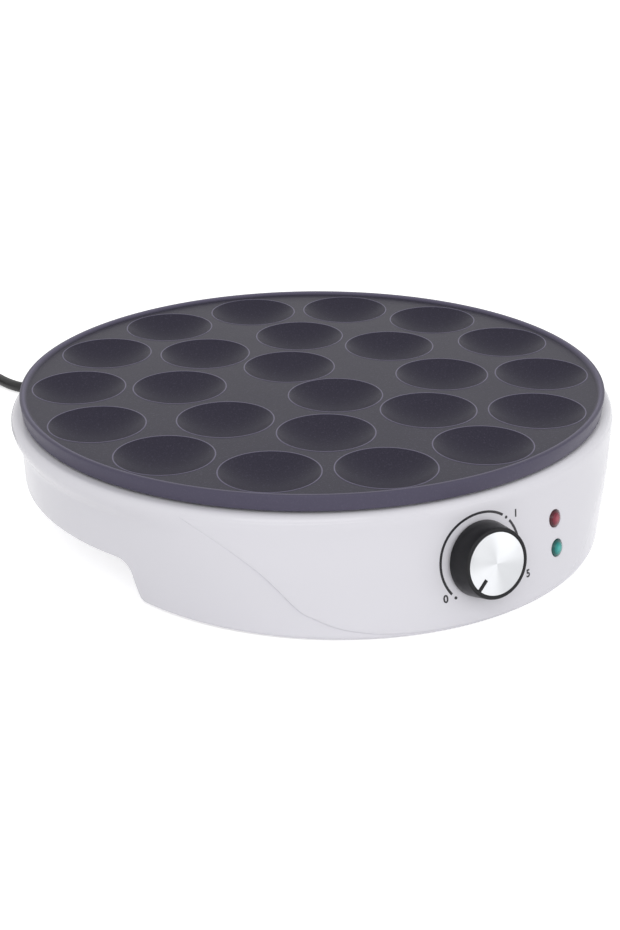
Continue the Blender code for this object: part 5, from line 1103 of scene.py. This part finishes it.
def plug(settings, rubber, steel):
    """A round plug with grips on its tail and waist, and its two pins."""
    matrix = moved(*TAIL_ROUTE[-1]) @ moved(y=-PLUG_BACK) @ turned(90, "X")
    rise, face = PLUG_TAIL + PLUG_WAIST, PLUG_TAIL + PLUG_WAIST + PLUG_DISC
    slope = (PLUG_NECK - PLUG_END) / PLUG_TAIL
    outline = [(0, 0), (PLUG_END, 0)]
    outline += grooved(lambda along: PLUG_END + slope * along, 0.0012,
                       (PLUG_TAIL - 0.006) / (TAIL_GROOVES[0] - 0.35), (0, 0.15, 0.5, 0.65), *TAIL_GROOVES)
    outline += [(PLUG_NECK, PLUG_TAIL - 0.0032, 0.003), (PLUG_MIDDLE - 0.001, PLUG_TAIL, 0.003)]
    outline += grooved(lambda along: PLUG_MIDDLE, PLUG_TAIL + 0.0040, 0.0028, (0, 1 / 7, 3 / 7, 4 / 7),
                       *WAIST_GROOVES)
    outline += [(PLUG_MIDDLE, rise - 0.0005, 0.002), (settings.plug_radius, rise + 0.0005, 0.002),
                (settings.plug_radius, face, 0.0012), (0, face)]
    shape = bmesh.new()
    spun(shape, eased(outline, 3), 72, matrix)
    pieces = [finished("plug", shape, rubber, nodes=("plug_body",), angle=40.0)]
    low, high = face + PIN_GAP, face + PIN_GAP + PIN_LENGTH
    pin = eased(((0, low), (PIN_RADIUS, low), (PIN_RADIUS, high, 0.0010), (0, high)), 5)
    for number, side in ((1, -1), (2, 1)):
        shape = bmesh.new()
        spun(shape, pin, 40, matrix @ moved(side * PIN_ASIDE))
        pieces.append(finished(f"pin_{number}", shape, steel,
                               nodes=(f"plug_pin_{number}",), angle=40.0))
    return pieces


# Feet and the pieces inside

FOOT_PLACES = ((0.128, 47), (0.128, -47), (0.1315, 148), (0.1315, -148))
FOOT_RADIUS, FOOT_TOP, STEM_RADIUS, BARB_RADIUS, BARB_FOOT = 0.008, 0.0047, 0.003, 0.0042, 0.0073


def feet(rubber):
    """Rubber feet with a hollow sole, each held by a barbed stem."""
    tip, sole = BARB_FOOT + BARB_RADIUS, 0.0006
    outline = eased(((0, tip), (STEM_RADIUS * 0.6, tip, 0.0005), (BARB_RADIUS, BARB_FOOT, 0.0003),
                     (STEM_RADIUS, BARB_FOOT), (STEM_RADIUS, FOOT_TOP), (FOOT_RADIUS * 0.9, FOOT_TOP, 0.0006),
                     (FOOT_RADIUS, 0, 0.0008), (FOOT_RADIUS * 0.55, 0, 0.0003),
                     (FOOT_RADIUS * 0.5, sole, 0.0003), (0, sole)), 3)
    for number, spot in enumerate(FOOT_PLACES, 1):
        shape = bmesh.new()
        spun(shape, outline, 48, Matrix.Translation(polar(*spot)))
        finished(f"rubber_foot_{number}", shape, rubber, nodes=(f"foot_{number}",))


def inner_finishes():
    """A finish for each material slot of the pieces that stay as they are."""
    return {
        "zinc_plated_steel": metal_finish("zinc_plate", (0.58, 0.58, 0.57)),
        "stamped_zinc": metal_finish("stamped_sheet", (0.50, 0.50, 0.48), 0.45),
        "brass": metal_finish("plain_brass", (0.72, 0.53, 0.24), 0.35),
        "copper": metal_finish("plain_copper", (0.74, 0.40, 0.27), 0.34),
        "spun_aluminium": metal_finish("plain_aluminium", (0.86, 0.87, 0.88), 0.28),
        "steatite": moulded_finish("fired_ceramic", (0.78, 0.75, 0.68), 0.6, 0.3),
        "natural_nylon": moulded_finish("nylon", (0.74, 0.72, 0.66), 0.45),
        "black_rubber": moulded_finish("rubber", (0.018, 0.018, 0.018), 0.75, 0.2),
        "lamp_glass": moulded_finish("lamp_tube", (0.75, 0.55, 0.45), 0.10, 0.01),
        "blue_wire": moulded_finish("blue_insulation", (0.04, 0.12, 0.50), 0.45),
        "brown_wire": moulded_finish("brown_insulation", (0.17, 0.07, 0.03), 0.45),
    }


def inner_pieces(coats):
    """Gives every node that stays as it is the finish of its slot."""
    slots = {entry["node"]: entry["material_slot"] for entry in frame["record"]["subparts"]}
    for name, thing in frame["nodes"].items():
        coat = coats.get(slots[name])
        if coat:
            for slot in thing.material_slots:
                slot.material = coat


# Studio

FLOOR_SHADE = (0.90, 0.90, 0.905)
FLOOR_RETURN = 0.6              # how much of the room light the floor sends back


def camera(studio):
    """The camera, placed by its turn, height and distance from the middle of the plate."""
    data = bpy.data.cameras.new("camera")
    data.sensor_width = 36.0
    data.lens = studio.lens
    data.clip_start, data.clip_end = 0.01, 100.0
    eye = placed("camera", data)
    eye.matrix_world = (moved(z=bpy.context.scene.pancake_plate.top)
                        @ Matrix.Rotation(studio.azimuth, 4, "Z")
                        @ Matrix.Rotation(math.pi / 2 - studio.elevation, 4, "X")
                        @ moved(z=studio.distance)
                        @ Matrix.Rotation(-studio.pitch, 4, "X")
                        @ Matrix.Rotation(-studio.yaw, 4, "Y")
                        @ Matrix.Rotation(studio.roll, 4, "Z"))
    bpy.context.scene.camera = eye


def area_light(name, place, aim, width, height, power):
    """A soft rectangular light at a place, aimed at a point."""
    data = bpy.data.lights.new(name, "AREA")
    data.shape, data.size, data.size_y, data.energy = "RECTANGLE", width, height, power
    lamp = placed(name, data)
    lamp.location = place
    lamp.rotation_euler = (Vector(aim) - Vector(place)).to_track_quat("-Z", "Y").to_euler()


def stage(studio):
    """Pale floor, even room light and soft lights."""
    shape = bmesh.new()
    bmesh.ops.create_grid(shape, x_segments=1, y_segments=1, size=6.0)
    coat = stage_finish("pale_floor", FLOOR_SHADE, 1.0 - FLOOR_RETURN * studio.world)
    floor = placed("floor", mesh_of("floor", shape, coat))
    world = bpy.data.worlds.new("room")
    world.use_nodes = True
    tree = world.node_tree
    background = tree.nodes["Background"]
    background.inputs["Color"].default_value = (1.0, 1.0, 1.0, 1.0)
    strength = looked_at(tree) * (1.0 - studio.world) + studio.world
    tree.links.new(strength.socket, background.inputs["Strength"])
    bpy.context.scene.world = world
    area_light("key", (-0.60, -1.05, 0.90), (0, 0, 0.05), 1.1, 0.8, studio.key)
    area_light("side", (0.60, -1.15, 0.40), (0, 0, 0.04), 0.7, 0.7, studio.side)


# Operators, panel and registration

class PancakeOperator:
    bl_options = {"REGISTER", "UNDO"}


class PANCAKE_OT_camera(PancakeOperator, bpy.types.Operator):
    """Set up the camera"""
    bl_idname = "pancake.camera"
    bl_label = "Camera"

    def execute(self, context):
        camera(context.scene.pancake_studio)
        return {"FINISHED"}


class PANCAKE_OT_cord(PancakeOperator, bpy.types.Operator):
    """Make the mains cord with its gland, tie, plug and pins"""
    bl_idname = "pancake.cord"
    bl_label = "Mains cord"

    def execute(self, context):
        settings = context.scene.pancake_cord
        rubber = moulded_finish("cord_rubber", settings.rubber, 0.42, 0.12)
        steel = metal_finish("pin_plate", (0.70, 0.69, 0.66), 0.25)
        cord, path = mains_cord(settings, rubber)
        pieces = [strain_relief(rubber), coil_tie(rubber, settings)] + plug(settings, rubber, steel)
        length = sum((b - a).length for a, b in zip(path, path[1:]))
        return {"FINISHED"}


class PANCAKE_OT_plate(PancakeOperator, bpy.types.Operator):
    """Make the cooking plate with its hollows"""
    bl_idname = "pancake.plate"
    bl_label = "Cooking plate"

    def execute(self, context):
        cooking_plate(context.scene.pancake_plate)
        return {"FINISHED"}


class PANCAKE_OT_housing(PancakeOperator, bpy.types.Operator):
    """Make the moulded housing and its front panel"""
    bl_idname = "pancake.housing"
    bl_label = "Housing"

    def execute(self, context):
        housing(context.scene.pancake_housing)
        front_panel(context.scene.pancake_housing)
        return {"FINISHED"}


class PANCAKE_OT_control(PancakeOperator, bpy.types.Operator):
    """Make the dial's print, the knob with its disc, and the lamps"""
    bl_idname = "pancake.control"
    bl_label = "Knob and lamps"

    def execute(self, context):
        control = context.scene.pancake_control
        dial(control, moulded_finish("dial_ink", (0.018, 0.017, 0.022), 0.5, 0.02))
        knob(control)
        lamps(control)
        return {"FINISHED"}


class PANCAKE_OT_fittings(PancakeOperator, bpy.types.Operator):
    """Make the feet and finish the base cover and the pieces inside"""
    bl_idname = "pancake.fittings"
    bl_label = "Feet and inner pieces"

    def execute(self, context):
        coats = inner_finishes()
        coats[WHITE] = shell_finish("white_cover", context.scene.pancake_housing.shell)
        coats[CORD] = moulded_finish("lead_sheath", context.scene.pancake_cord.rubber, 0.42, 0.12)
        feet(coats["black_rubber"])
        inner_pieces(coats)
        return {"FINISHED"}


class PANCAKE_OT_stage(PancakeOperator, bpy.types.Operator):
    """Set up the floor and the lights"""
    bl_idname = "pancake.stage"
    bl_label = "Stage"

    def execute(self, context):
        stage(context.scene.pancake_studio)
        return {"FINISHED"}


SETTINGS = (("pancake_plate", PlateSettings), ("pancake_housing", HousingSettings),
            ("pancake_control", ControlSettings), ("pancake_cord", CordSettings),
            ("pancake_studio", StudioSettings))
OPERATORS = (PANCAKE_OT_camera, PANCAKE_OT_cord, PANCAKE_OT_plate, PANCAKE_OT_housing,
             PANCAKE_OT_control, PANCAKE_OT_fittings, PANCAKE_OT_stage)


class PANCAKE_PT_sidebar(bpy.types.Panel):
    """Buttons for each group of pieces, with their sizes and colours"""
    bl_label = "Mini pancake maker"
    bl_idname = "PANCAKE_PT_sidebar"
    bl_space_type = "VIEW_3D"
    bl_region_type = "UI"
    bl_category = "Pancake maker"

    def draw(self, context):
        for operator in OPERATORS:
            self.layout.operator(operator.bl_idname)
        for name, group in SETTINGS:
            box = self.layout.box()
            box.label(text=name.replace("pancake_", "").capitalize())
            for key in group.__annotations__:
                box.prop(getattr(context.scene, name), key)


def register():
    for name, group in SETTINGS:
        bpy.utils.register_class(group)
        setattr(bpy.types.Scene, name, bpy.props.PointerProperty(type=group))
    for entry in OPERATORS + (PANCAKE_PT_sidebar,):
        bpy.utils.register_class(entry)


def unregister():
    for entry in reversed(OPERATORS + (PANCAKE_PT_sidebar,)):
        bpy.utils.unregister_class(entry)
    for name, group in reversed(SETTINGS):
        delattr(bpy.types.Scene, name)
        bpy.utils.unregister_class(group)


def corners(bounds):
    return [[float(value) for value in corner] for corner in bounds]


def main():
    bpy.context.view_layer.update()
    register()
    bpy.context.scene.view_settings.view_transform = "Standard"
    for step in ("camera", "cord", "plate", "housing", "control", "fittings", "stage"):
        getattr(bpy.ops.pancake, step)()


if __name__ == "__main__":
    main()
